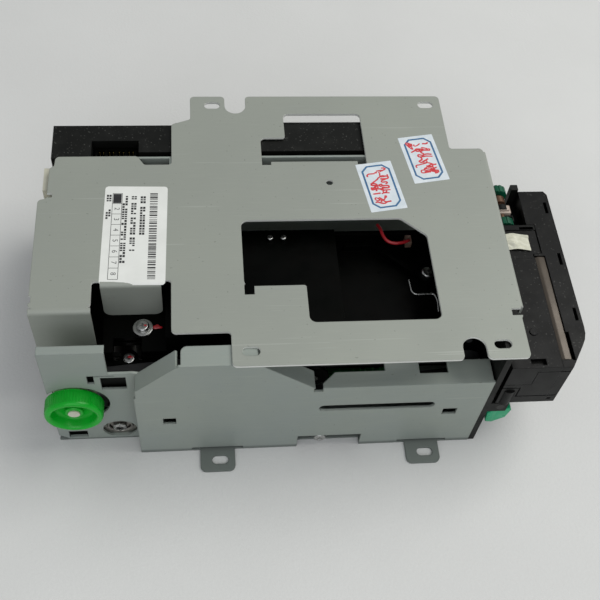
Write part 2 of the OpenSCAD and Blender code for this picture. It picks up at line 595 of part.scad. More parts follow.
// Straight bar from a to b
module stroke(a, b, w) {
  d = b - a;
  translate(a) rotate(atan2(d[1], d[0])) translate([0, -w / 2]) square([norm(d), w]);
}

// Black cover over the pinch rollers, seen through the large cut-out
module guide_cover() color([0.08, 0.08, 0.08]) difference() {
  union() {
    block(wall_x, ch_y0, up_bot + up_wall, xm + 14 - wall_x, card_w + 2 * rail, 1.6);
    for (x = [xm - 17.6, xm - 11.2]) rod_z(x, mouth_cy + 24, up_bot + up_wall + 1.6 - eps, 1.3, 1.2);
  }
  for (s = [-1, 1]) rod_z(chip_x, mouth_cy + s * 5, up_bot + up_wall - 1, chip_pin_r + run_fit, 4);
}

// ---- drive ---------------------------------------------------------------

module hand_knob() color([0.1, 0.64, 0.2]) {
  y0 = brk_y - knob_out;     // front rim
  difference() {
    union() {
      translate([knob_x, y0, knob_z]) rotate([-90, 0, 0]) rotate_extrude()
        polygon([[knob_d / 2 - 2.6, 0], [knob_d / 2 - 0.8, 0], [knob_d / 2, 0.8], [knob_d / 2, knob_depth],
          [0, knob_depth], [0, 2.6], [knob_shaft_d / 2 + 1.6, 2.6], [knob_shaft_d / 2 + 1.6, 5.4],
          [knob_d / 2 - 4, 5.4]]);
    }
    rod_y(knob_x, y0 - 1, knob_z, knob_shaft_d / 2, knob_depth + 2);
    for (a = [0:15:345]) translate([knob_x, y0 + 2, knob_z]) rotate([0, a, 0])
      translate([knob_d / 2 + 0.25, 0, 0]) rotate([-90, 0, 0]) cylinder(r = 0.6, h = 12, $fn = 12);
  }
}

module knob_shaft() color([0.8, 0.79, 0.73])
  rod_y(knob_x, brk_y - knob_out + 2, knob_z, knob_shaft_d / 2, ch_y0 + 10 + knob_out - brk_y);

// Flanged pulley along Y around the belt
module pulley(x, z, r, bore) difference() {
  union() {
    rod_y(x, belt_y - 0.6, z, r, belt_w + 1.2);
    for (y = [belt_y - 1.2, belt_y + belt_w + 0.4]) rod_y(x, y, z, r + 1, 0.8);
  }
  rod_y(x, belt_y - 2, z, bore, belt_w + 4);
}

module knob_pulley() color([0.86, 0.85, 0.8]) pulley(knob_x, knob_z, knob_pulley_r, knob_shaft_d / 2);
module motor_pulley() color([0.62, 0.6, 0.57]) {
  pulley(motor_x, motor_z, motor_pulley_r, motor_shaft_r);
  difference() {
    rod_y(motor_x, brk_y + 1.8, motor_z, 4.6, belt_y - 1 - brk_y - 1.8);
    rod_y(motor_x, brk_y + 1, motor_z, 2.6, 2.4);
  }
}
module feed_pulley(i) color([0.1, 0.1, 0.1]) pulley(feed_x[i], feed_z, feed_pulley_r, feed_shaft_d / 2);
module feed_pulley_1() feed_pulley(0);
module feed_pulley_2() feed_pulley(1);
module feed_pulley_3() feed_pulley(2);

module feed_shaft(i) color([0.72, 0.72, 0.72])
  rod_y(feed_x[i], belt_y - 2.4, feed_z, feed_shaft_d / 2, ch_y1 + 2 - belt_y + 2.4);
module feed_shaft_1() feed_shaft(0);
module feed_shaft_2() feed_shaft(1);
module feed_shaft_3() feed_shaft(2);

module feed_rollers(i) color([0.16, 0.16, 0.17]) for (s = [-1, 1]) difference() {
  rod_y(feed_x[i], mouth_cy + s * 14 - 5, feed_z, feed_r, 10);
  rod_y(feed_x[i], mouth_cy + s * 14 - 6, feed_z, feed_shaft_d / 2, 12);
}
module feed_rollers_1() feed_rollers(0);
module feed_rollers_2() feed_rollers(1);
module feed_rollers_3() feed_rollers(2);

module pinch_roller(i) color([0.2, 0.2, 0.2]) {
  rod_y(feed_x[i], ch_y0 - 1.2, pinch_z, pinch_shaft_d / 2, card_w + 2 * rail + 2.4);
  for (s = [-1, 1]) rod_y(feed_x[i], mouth_cy + s * 14 - 5, pinch_z, pinch_r, 10);
}
module pinch_roller_1() pinch_roller(0);
module pinch_roller_2() pinch_roller(1);
module pinch_roller_3() pinch_roller(2);

module belt_path(extra) hull() {
  translate([knob_x, knob_z]) circle(knob_pulley_r + extra);
  translate([motor_x, motor_z]) circle(motor_pulley_r + extra);
  for (i = [0, 2]) translate([feed_x[i], feed_z]) circle(feed_pulley_r + extra);
}
module drive_belt() color([0.07, 0.07, 0.07]) in_xz(belt_y, belt_w) difference() {
  belt_path(gap + belt_t);
  belt_path(gap);
}

module drive_motor() color([0.7, 0.7, 0.7]) difference() {
  union() {
    rod_y(motor_x, ch_y0 + 1.6, motor_z, motor_d / 2, 33);
    rod_y(motor_x, ch_y0, motor_z, 3.4, 1.6 + eps);
  }
  rod_y(motor_x, ch_y0 - 1, motor_z, motor_shaft_r + run_fit, 11);
}

module motor_shaft() color([0.72, 0.72, 0.72])
  rod_y(motor_x, belt_y - 1, motor_z, motor_shaft_r, ch_y0 + 9 - belt_y);

module motor_mount() color([0.6, 0.62, 0.6]) difference() {
  union() {
    block(motor_x - 14, ch_y0, sheet_t, 28, 1.6, motor_z + 8);
    for (s = [-1, 1]) block(motor_x + s * 12.5 - 1.5, ch_y0, sheet_t, 3, 9, 1.4);
  }
  rod_y(motor_x, ch_y0 - 1, motor_z, 3.4, 4);
}

// ---- reading parts, shutter ----------------------------------------------

head_x = xm + 30;
head_y = mouth_cy + 14;
head_pin_r = 1.4;
module magnetic_head() color([0.68, 0.68, 0.7]) {
  difference() {
    block(head_x - 5.5, head_y - 4.6, low_top - 10, 11, 9.2, 9.4);
    block(head_x - 7, head_y - 1.4, low_top - 11, 14, 2.8, 3);
  }
  rod_y(head_x, head_y - 7.2, low_top - 6, head_pin_r, 14.4);
}

chip_x = xm - 37;
chip_pin_r = 1.5;
module chip_contact_block() color([0.75, 0.73, 0.66]) {
  block(chip_x - 8.6, mouth_cy - 8.6, up_bot + 0.9, 17.2, 17.2, 6);
  for (i = [-1.5:1:1.5]) for (s = [-1, 1])
    block(chip_x + s * 3.8 - 0.5, mouth_cy + i * 2.54 - 0.5, up_bot + 0.3, 1, 1, 0.7);
  for (s = [-1, 1]) rod_z(chip_x, mouth_cy + s * 5, up_bot + 6.9 - eps, chip_pin_r, 8.6);
}

shut_x = frame_x + frame_t + 0.45;
sol_x = shut_x + 11.5;
sol_y = mouth_cy + 4;
sol_h = 18;
travel = 6;                  // shutter opening travel
module shutter() color([0.66, 0.66, 0.66]) {
  block(shut_x, chan_y0 - 2, card_z - 6, 1, card_w + 4, 8.6);
  block(shut_x, sol_y - 5, mouth_z0 - 3, 1, 10, card_z - mouth_z0);
  block(shut_x, sol_y - 5, mouth_z0 - 3, sol_x - shut_x + 4, 10, 1.2);
}
module plunger() color([0.75, 0.75, 0.76]) {
  rod_z(sol_x, sol_y, 12, 2.5, mouth_z0 - 3 - 12);
}
module solenoid() color([0.75, 0.68, 0.3]) difference() {
  union() {
    block(frame_x + frame_t, sol_y - 9, 5, sol_x - frame_x - frame_t - 5, 18, 1.6);
    block(sol_x - 7, sol_y - 9, 5, 14, 18, 1.6);
    rod_z(sol_x, sol_y, 5 + 1.6 - eps, 6.6, sol_h);
    block(frame_x + frame_t, sol_y - 9, 5, 1.6, 18, 12);
  }
  rod_z(sol_x, sol_y, 5.4, 2.5 + run_fit, sol_h + 4);
}

// ---- boards and plugs ----------------------------------------------------

hx1 = xm + 38;               // front end of the board housing
module board_housing() color([0.14, 0.14, 0.14]) difference() {
  union() {
    block(x_rear + 4, fy1, 8, hx1 - x_rear - 4, 21.7, under - 8 - 7);
    block(x_rear + 4, fy1 + 3.8, 8, hx1 - x_rear - 4, 17.9, under - 8 - 0.8);
    block(x_rear + 4, fy1, under - 16, fx0 - x_rear - 3, 8, 15.2);
    block(fx0 + 20, fy1 + 20, 8, hx1 - fx0 - 20, 4.3, under - 8 - 1.8);
  }
  // connector recess in the top, at the rear
  block(fx0 - 21, fy1 - 1, under - 14, 23, 12.4, 20);
  // hollow inside, open towards the panel
  block(x_rear + 6.4, fy1 - 1, 10.4, hx1 - x_rear - 8.8, 20.2, under - 8 - 20);
}

module housing_plugs() color([0.05, 0.05, 0.06]) difference() {
  block(fx0 - 19.6, fy1 + 1.4, under - 14, 20.4, 9, 9);
  for (i = [0:3]) block(fx0 - 18.4 + i * 4.8, fy1 + 2.6, under - 10, 3.6, 6.4, 8);
}

module main_board() color([0.08, 0.3, 0.16]) {
  block(xm - 34, ch_y0 + 12, 5.2, 96, 36, 1.6);
  for (x = [xm - 30, xm + 58]) for (y = [ch_y0 + 16, ch_y0 + 44]) rod_z(x, y, sheet_t, 2.5, 4 + eps);
}

module board_parts() color([0.1, 0.1, 0.12]) {
  block(xm - 14, ch_y0 + 22, 6.8, 18, 18, 2.4);
  block(xm + 14, ch_y0 + 26, 6.8, 12, 8, 1.6);
  for (i = [0:3]) rod_z(xm + 32 + i * 7, ch_y0 + 20, 6.8, 2.6, 8);
  block(xm + 34, ch_y0 + 34, 6.8, 22, 6, 7);
  block(xm - 30, ch_y0 + 24, 6.8, 6, 16, 6);
}

module card_sensors() color([0.2, 0.2, 0.22])
  for (x = [fx0 + 8, xm + 17, xm + 62]) block(x - 3, mouth_cy - 3, low_top - guide_t - 4, 6, 6, 4);

module rear_board() color([0.08, 0.3, 0.16])
  block(x_rear + 11, fy0 + 62, low_top, 1.6, 52, under - low_top - 3);

// ---- screws, wires, labels -----------------------------------------------

module washer_screw() color([0.78, 0.78, 0.78]) {
  rod_z(fx0 + 4, fy0 + 34.3, up_bot + guide_t, 4.6, 1);
  translate([fx0 + 4, fy0 + 34.3, up_bot + guide_t + 1 - eps]) pan_head(3, 2, 1.5, 3);
}
module recessed_screw() color([0.72, 0.66, 0.64])
  translate([fx0 - 3, fy0 + 25, low_top - 7.6]) pan_head(2.9, 2, 1.2, 0);
module window_screw() color([0.76, 0.76, 0.76])
  translate([xm + 58.2, mouth_cy + 7.7, up_bot + 6]) pan_head(2.8, 2, 1.2, 0);
module notch_screw() color([0.76, 0.76, 0.76]) {
  translate([xm + 5.4, fy0 + 2.4, 7.4]) rotate([90, 0, 0]) pan_head(3, 2.2, 1.4, 3);
  block(xm + 1, fy0 + 4.4, sheet_t, 9, 4, 10);
}

// Short wire that crosses the far wall of the upper guide
module wire_arc() color([0.66, 0.12, 0.12]) {
  translate([xm + 42.4, ch_y1 - rail - 0.6, up_bot + up_wall + 1]) rotate(145)
    rotate_extrude(angle = 155) translate([5.3, 0]) circle(r = 0.8, $fn = 16);
}
module rear_wire() color([0.75, 0.2, 0.2]) translate([x_rear + 0.9, fy0 + 95, plate_z - 6])
  rotate([0, 90, 0]) cylinder(r = 1, h = 3.1 - eps, $fn = 20);
module rear_plug() color([0.74, 0.73, 0.64]) {
  block(x_rear + 1, fy0 + 100.5, plate_z - 15, 3.1, 14, 11);
  block(x_rear + 4 - eps, fy0 + 92, plate_z - 15, 7 + eps, 22.5, 11);
}
module taped_plug() color([0.9, 0.9, 0.88]) translate([0, 0, -shelf]) {
  in_xy(mouth_z1, 0.9) polygon([[mouth_x + 7, fy0 + 65.4], [mouth_x + 18, fy0 + 66.5],
    [mouth_x + 22.4, fy0 + 65.4], [mouth_x + 22.8, fy0 + 71.4], [mouth_x + 21.7, fy0 + 72],
    [mouth_x + 21.5, fy0 + 75.7], [mouth_x + 19.4, fy0 + 75.1], [mouth_x + 16.2, fy0 + 76.1],
    [mouth_x + 7, fy0 + 76.5]]);
  block(mouth_x + 7.5, fy0 + 67, mouth_z1 + 0.9 - eps, 8, 8.4, 1.7);
}

paper_t = 0.12;
module paper(x, y, w, h, a, c) translate([x, y, plate_z]) rotate(a) linear_extrude(paper_t)
  polygon([[-w / 2 + c, -h / 2], [w / 2 - c, -h / 2], [w / 2, -h / 2 + c], [w / 2, h / 2 - c],
    [w / 2 - c, h / 2], [-w / 2 + c, h / 2], [-w / 2, h / 2 - c], [-w / 2, -h / 2 + c]]);
module label() color([0.92, 0.92, 0.9]) paper(fx0 + 1.1, fy0 + 70.6, 29.3, 56.7, -1.2, 1.2);
module sticker_front() color([0.93, 0.93, 0.93]) paper(xm + 61.2, fy0 + 115.2, 18.6, 30.4, 8.5, 0.3);
module sticker_back() color([0.93, 0.93, 0.93]) paper(xm + 37.5, fy0 + 97.5, 18, 31, 8.5, 0.3);

top_plate();
tray();
rear_bracket();
front_frame();
lower_guide();
upper_guide();
guide_cover();
mouth_lower();
mouth_upper();
bezel();
bezel_strip();
board_housing();
housing_plugs();
hand_knob();
knob_shaft();
knob_pulley();
drive_motor();
motor_mount();
motor_shaft();
motor_pulley();
drive_belt();
feed_shaft_1();
feed_rollers_1();
feed_pulley_1();
feed_shaft_2();
feed_rollers_2();
feed_pulley_2();
feed_shaft_3();
feed_rollers_3();
feed_pulley_3();
pinch_roller_1();
pinch_roller_2();
pinch_roller_3();
magnetic_head();
chip_contact_block();
shutter();
solenoid();
plunger();
release_lever();
lever_pin();
latch_hook();
gate_shaft();
gate_wheels();
gate_arm();
main_board();
board_parts();
card_sensors();
rear_board();
washer_screw();
recessed_screw();
window_screw();
notch_screw();
wire_arc();
rear_wire();
rear_plug();
taped_plug();
label();
sticker_front();
sticker_back();
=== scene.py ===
"""Motorised card reader unit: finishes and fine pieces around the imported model."""

import logging
import math
import random
from dataclasses import dataclass
from enum import Enum
from typing import Any, Callable, Dict, List, Optional, Sequence, Tuple

import bpy
from mathutils import Matrix, Vector


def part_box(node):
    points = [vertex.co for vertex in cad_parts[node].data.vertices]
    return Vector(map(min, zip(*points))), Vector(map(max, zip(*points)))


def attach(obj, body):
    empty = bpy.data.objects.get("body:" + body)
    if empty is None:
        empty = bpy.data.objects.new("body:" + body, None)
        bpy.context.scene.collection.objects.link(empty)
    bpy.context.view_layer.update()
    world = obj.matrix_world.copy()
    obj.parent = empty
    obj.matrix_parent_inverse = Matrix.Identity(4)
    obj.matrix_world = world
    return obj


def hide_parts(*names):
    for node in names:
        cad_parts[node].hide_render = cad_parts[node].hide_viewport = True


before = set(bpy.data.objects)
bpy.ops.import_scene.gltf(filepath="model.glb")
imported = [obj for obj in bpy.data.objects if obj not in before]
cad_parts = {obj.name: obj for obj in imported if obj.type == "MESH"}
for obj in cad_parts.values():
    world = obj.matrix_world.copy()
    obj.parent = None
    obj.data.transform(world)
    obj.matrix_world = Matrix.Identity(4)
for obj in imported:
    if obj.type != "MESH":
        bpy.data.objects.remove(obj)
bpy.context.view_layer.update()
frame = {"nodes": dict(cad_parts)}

LOG = logging.getLogger("card_reader")
MM = 0.001
Point = Tuple[float, float, float]
NOISE_ROUGHNESS = 0.55
# socket numbers of a colour mix: the colour below, the one on top, and the result
MIX_UNDER, MIX_OVER, MIX_RESULT = 6, 7, 2


# ---- colours and nodes -----------------------------------------------------


def linear(code: str) -> Tuple[float, float, float, float]:
    """Turns an sRGB hex colour into a linear one.

    Args:
        code: six hex digits, such as "92968c".

    Returns:
        Red, green, blue and a full alpha, in linear light.
    """
    parts = [int(code[i : i + 2], 16) / 255 for i in (0, 2, 4)]
    parts = [p / 12.92 if p <= 0.04045 else ((p + 0.055) / 1.055) ** 2.4 for p in parts]
    return (parts[0], parts[1], parts[2], 1.0)


def add_node(tree: Any, kind: str, settings: Optional[Dict[Any, Any]] = None,
             links: Optional[Dict[Any, Any]] = None) -> Any:
    """Adds one shader node.

    Args:
        tree: the node tree it goes in.
        kind: the node's type name.
        settings: socket names or numbers, or properties, and their values.
        links: this node's sockets, and the output that feeds each.

    Returns:
        The new node.
    """
    node = tree.nodes.new(kind)
    for key, value in (settings or {}).items():
        if isinstance(key, int) or key in node.inputs:
            node.inputs[key].default_value = value
        else:
            setattr(node, key, value)
    for key, source in (links or {}).items():
        tree.links.new(source, node.inputs[key])
    return node


class Axis(Enum):
    """A direction of the unit."""

    X = 0
    Y = 1
    Z = 2


@dataclass(frozen=True)
class Finish:
    """What one surface is made of and how it was made.

    Args:
        name: the material's name.
        color: main colour, sRGB hex.
        second: colour that the first one drifts to, sRGB hex.
        roughness: mean roughness.
        metallic: 0 for plastic and paint, 1 for bare metal.
        cloud_mm: size of the drift in colour.
        grain_mm: size of the surface's own texture.
        bump_mm: height of that texture.
        edge_mm: rounding that the edges seem to have.
        coat: weight of a clear coat.
        shine: level of the surface's mirror-like reflection, 0.5 for most plastics.
    """

    name: str
    color: str
    second: str
    roughness: float = 0.5
    metallic: float = 0.0
    cloud_mm: float = 12.0
    grain_mm: float = 0.5
    bump_mm: float = 0.02
    edge_mm: float = 0.25
    coat: float = 0.0
    shine: float = 0.5

    def build(self) -> bpy.types.Material:
        """Makes the material, or finds it if it is there."""
        found = bpy.data.materials.get(self.name)
        if found:
            return found
        material = bpy.data.materials.new(self.name)
        material.use_nodes = True
        tree = material.node_tree
        tree.nodes.clear()
        shader = add_node(tree, "ShaderNodeBsdfPrincipled", {
            "Roughness": self.roughness, "Metallic": self.metallic, "Coat Weight": self.coat,
            "Coat Roughness": 0.25, "Specular IOR Level": self.shine})
        add_node(tree, "ShaderNodeOutputMaterial", links={"Surface": shader.outputs["BSDF"]})
        place = add_node(tree, "ShaderNodeTexCoord").outputs["Object"]
        self.dress(tree, shader, place)
        material.diffuse_color = linear(self.color)
        return material

    def dress(self, tree: Any, shader: Any, place: Any) -> None:
        """Gives the shader its colour, roughness and relief."""
        color = self.clouds(tree, place)
        self.close(tree, shader, place, color, 0.08, 2.0)

    def clouds(self, tree: Any, place: Any) -> Any:
        """A soft drift between the two colours. Returns its colour output."""
        lumps = add_node(tree, "ShaderNodeTexNoise", {
            "Scale": 1 / (self.cloud_mm * MM), "Detail": 4.0, "Roughness": NOISE_ROUGHNESS}, {"Vector": place})
        ramp = add_node(tree, "ShaderNodeValToRGB", links={"Fac": lumps.outputs["Fac"]})
        for stop, position, code in zip(ramp.color_ramp.elements, (0.36, 0.66), (self.color, self.second)):
            stop.position = position
            stop.color = linear(code)
        return ramp.outputs["Color"]

    def flecks(self, tree: Any, place: Any, under: Any, over: str, size_mm: float, detail: float,
               edge: Tuple[float, float], share: float, stretch: Point = (1.0, 1.0, 1.0), turn: float = 0.0,
               where: Any = None) -> Any:
        """Lays a colour over another in the lumps of a noise.

        Args:
            tree: the node tree.
            place: the coordinates of the pattern.
            under: the colour below.
            over: the colour on top, sRGB hex.
            size_mm: width of the lumps.
            detail: how much finer noise the lumps carry.
            edge: the noise's values at which a lump starts and is full.
            share: how much of the colour on top a full lump has.
            stretch: how many times a lump is drawn out along each axis.
            turn: how far the pattern is turned about Z.
            where: a mask that the lumps keep to, or None.

        Returns:
            The mixed colour.
        """
        drawn = add_node(tree, "ShaderNodeMapping", {
            "Scale": tuple(1 / s for s in stretch), "Rotation": (0.0, 0.0, turn)}, {"Vector": place})
        lumps = add_node(tree, "ShaderNodeTexNoise", {
            "Scale": 1 / (size_mm * MM), "Detail": detail, "Roughness": NOISE_ROUGHNESS},
            {"Vector": drawn.outputs["Vector"]})
        mask = add_node(tree, "ShaderNodeMapRange", {
            "interpolation_type": "SMOOTHSTEP", "From Min": edge[0], "From Max": edge[1], "To Max": share},
            {"Value": lumps.outputs["Fac"]}).outputs["Result"]
        if where is not None:
            mask = add_node(tree, "ShaderNodeMath", {"operation": "MULTIPLY"}, {0: mask, 1: where}).outputs[0]
        return add_node(tree, "ShaderNodeMix", {"data_type": "RGBA", MIX_OVER: linear(over)},
                        {0: mask, MIX_UNDER: under}).outputs[MIX_RESULT]

    def close(self, tree: Any, shader: Any, place: Any, color: Any, spread: float, detail: float,
              stretch: Point = (1.0, 1.0, 1.0), height: Any = None) -> None:
        """Joins the colour to the shader, with a drifting roughness and the surface's own texture.

        Args:
            tree: the node tree.
            shader: the surface shader.
            place: the coordinates of the patterns.
            color: the finished colour.
            spread: drift of the roughness to each side of its mean, or 0 for none.
            detail: how much finer noise the texture carries.
            stretch: how many times the texture is drawn out along each axis.
            height: the texture's height, or None for a grain of its own.
        """
        tree.links.new(color, shader.inputs["Base Color"])
        if spread:
            drift = add_node(tree, "ShaderNodeTexNoise", {
                "Scale": 1 / (self.cloud_mm * 0.6 * MM), "Detail": 3.0, "Roughness": NOISE_ROUGHNESS},
                {"Vector": place})
            rough = add_node(tree, "ShaderNodeMapRange", {
                "From Min": 0.3, "From Max": 0.7, "To Min": self.roughness - spread,
                "To Max": self.roughness + spread}, {"Value": drift.outputs["Fac"]})
            tree.links.new(rough.outputs["Result"], shader.inputs["Roughness"])
        if height is None:
            drawn = add_node(tree, "ShaderNodeMapping", {"Scale": tuple(1 / s for s in stretch)}, {"Vector": place})
            height = add_node(tree, "ShaderNodeTexNoise", {
                "Scale": 1 / (self.grain_mm * MM), "Detail": detail, "Roughness": NOISE_ROUGHNESS},
                {"Vector": drawn.outputs["Vector"]}).outputs["Fac"]
        edge = add_node(tree, "ShaderNodeBevel", {"samples": 3, "Radius": self.edge_mm * MM})
        bump = add_node(tree, "ShaderNodeBump", {"Distance": self.bump_mm * MM, "Strength": 1.0},
                        {"Height": height, "Normal": edge.outputs["Normal"]})
        tree.links.new(bump.outputs["Normal"], shader.inputs["Normal"])


@dataclass(frozen=True)
class CoatedSheet(Finish):
    """Zinc-coated steel sheet with a thin clear passivation: satin, grey with a green tinge.

    Args:
        highlight_cut_over_mm: height above which a face that stands upright is a cut edge, painted near-white as bare
            steel with a painted highlight, or 0 for none.
        shade_under_mm: height under which the sheet is painted darker, as painted shade near the floor, or 0 for
            none.
        scratch: how clearly the handling scratches show.
    """

    highlight_cut_over_mm: float = 0.0
    shade_under_mm: float = 0.0
    scratch: float = 0.3

    def dress(self, tree: Any, shader: Any, place: Any) -> None:
        """Adds the rolling grain, handling scratches, specks, painted shade low down and cut edges in bare steel with
        a painted highlight.
        """
        color = self.clouds(tree, place)
        # rolling grain, drawn at 0.5 mm instead of 0.05 mm so that it shows as a faint drift
        color = self.flecks(tree, place, color, "9da097", 0.5, 2.0, (0.5, 0.72), 0.22, (30.0, 1.0, 1.0))
        # fine scratches from handling: long, thin, lighter than the coat
        for turn, size in ((0.5, 0.9), (-0.9, 1.3)):
            color = self.flecks(tree, place, color, "b4b7b0", size, 1.0, (0.73, 0.78), self.scratch,
                                (60.0, 1.0, 1.0), turn)
        # dark specks of dirt
        color = self.flecks(tree, place, color, "6b6d66", 1.1, 0.0, (0.82, 0.85), 0.5)
        high = add_node(tree, "ShaderNodeSeparateXYZ", links={"Vector": place}).outputs["Z"]
        # painted shade: the sheet is darkened towards the floor, under the given height
        if self.shade_under_mm:
            painted_shade = add_node(tree, "ShaderNodeMapRange", {
                "interpolation_type": "SMOOTHSTEP", "From Min": (self.shade_under_mm + 2) * MM,
                "From Max": self.shade_under_mm * MM, "To Max": 0.8}, {"Value": high}).outputs["Result"]
            color = add_node(tree, "ShaderNodeMix", {"data_type": "RGBA", MIX_OVER: linear("5f6561")},
                             {0: painted_shade, MIX_UNDER: color}).outputs[MIX_RESULT]
        # cut edges: bare steel with a painted highlight, near-white on every upright face up high
        if self.highlight_cut_over_mm:
            color = self.cut_edge_highlight(tree, high, color)
        self.close(tree, shader, place, color, 0.07, 2.0, (6.0, 1.0, 1.0))

    def cut_edge_highlight(self, tree: Any, high: Any, under: Any) -> Any:
        """Lays near-white on cut edges: bare steel where the shear has cut, and a painted highlight. Returns the
        mixed colour.
        """
        normal = add_node(tree, "ShaderNodeNewGeometry").outputs["True Normal"]
        up = add_node(tree, "ShaderNodeSeparateXYZ", links={"Vector": normal}).outputs["Z"]
        slope = add_node(tree, "ShaderNodeMath", {"operation": "ABSOLUTE"}, {0: up}).outputs[0]
        upright = add_node(tree, "ShaderNodeMath", {"operation": "LESS_THAN", 1: 0.3}, {0: slope}).outputs[0]
        above = add_node(tree, "ShaderNodeMath", {"operation": "GREATER_THAN", 1: self.highlight_cut_over_mm * MM},
                         {0: high}).outputs[0]
        share = add_node(tree, "ShaderNodeMath", {"operation": "MULTIPLY"}, {0: upright, 1: above}).outputs[0]
        return add_node(tree, "ShaderNodeMix", {"data_type": "RGBA", MIX_OVER: linear("d6d7d2")},
                        {0: share, MIX_UNDER: under}).outputs[MIX_RESULT]


@dataclass(frozen=True)
class MouldedPlastic(Finish):
    """Injection-moulded plastic with a fine spark-eroded texture and a little dust.

    Args:
        dust: how much pale dust lies on faces that look up.
    """

    dust: float = 0.25

    def dress(self, tree: Any, shader: Any, place: Any) -> None:
        """Adds the mould texture, faint flow clouds and dust."""
        color = self.clouds(tree, place)
        if self.dust:
            normal = add_node(tree, "ShaderNodeNewGeometry").outputs["Normal"]
            high = add_node(tree, "ShaderNodeSeparateXYZ", links={"Vector": normal}).outputs["Z"]
            up = add_node(tree, "ShaderNodeMapRange", {
                "interpolation_type": "SMOOTHSTEP", "From Min": 0.4, "From Max": 0.95}, {"Value": high})
            top = up.outputs["Result"]
            color = self.flecks(tree, place, color, "8c8c86", 9.0, 5.0, (0.45, 0.75), self.dust * 0.35, where=top)
            color = self.flecks(tree, place, color, "a8a8a2", 0.8, 0.0, (0.77, 0.8), self.dust * 3, where=top)
        self.close(tree, shader, place, color, 0.09, 1.0)


@dataclass(frozen=True)
class TurnedMetal(Finish):
    """Bare or nickel-plated metal with fine tool marks round its axis.

    Args:
        along: the axis that the tool marks run round.
    """

    along: Axis = Axis.Z

    def dress(self, tree: Any, shader: Any, place: Any) -> None:
        """Adds tool marks and a drift in tone."""
        stretch = tuple(1.0 if axis is self.along else 8.0 for axis in Axis)
        self.close(tree, shader, place, self.clouds(tree, place), 0.08, 2.0, stretch)


@dataclass(frozen=True)
class BoardLaminate(Finish):
    """Glass-epoxy circuit board under green solder resist, with tracks that show through."""

    def dress(self, tree: Any, shader: Any, place: Any) -> None:
        """Adds straight tracks and pads."""
        color = self.clouds(tree, place)
        for stretch in ((14.0, 1.0, 1.0), (1.0, 14.0, 1.0)):
            color = self.flecks(tree, place, color, "3f7f45", 1.3, 0.0, (0.6, 0.63), 0.7, stretch)
        # pads on the usual 2.54 mm grid
        spots = add_node(tree, "ShaderNodeTexVoronoi", {"Scale": 1 / (2.54 * MM), "Randomness": 0.3},
                         {"Vector": place})
        pad = add_node(tree, "ShaderNodeMapRange", {
            "interpolation_type": "SMOOTHSTEP", "From Min": 0.16, "From Max": 0.13, "To Max": 0.8},
            {"Value": spots.outputs["Distance"]}).outputs["Result"]
        color = add_node(tree, "ShaderNodeMix", {"data_type": "RGBA", MIX_OVER: linear("b9a565")},
                         {0: pad, MIX_UNDER: color}).outputs[MIX_RESULT]
        self.close(tree, shader, place, color, 0.0, 0.0, height=pad)


@dataclass(frozen=True)
class Print(Finish):
    """Printed or written ink: thin, a little uneven, as glossy as what it lies on."""

    def dress(self, tree: Any, shader: Any, place: Any) -> None:
        """Lets the ink thin out in small spots."""
        color = self.flecks(tree, place, self.clouds(tree, place), self.second, 0.5, 2.0, (0.6, 0.75), 0.5)
        tree.links.new(color, shader.inputs["Base Color"])


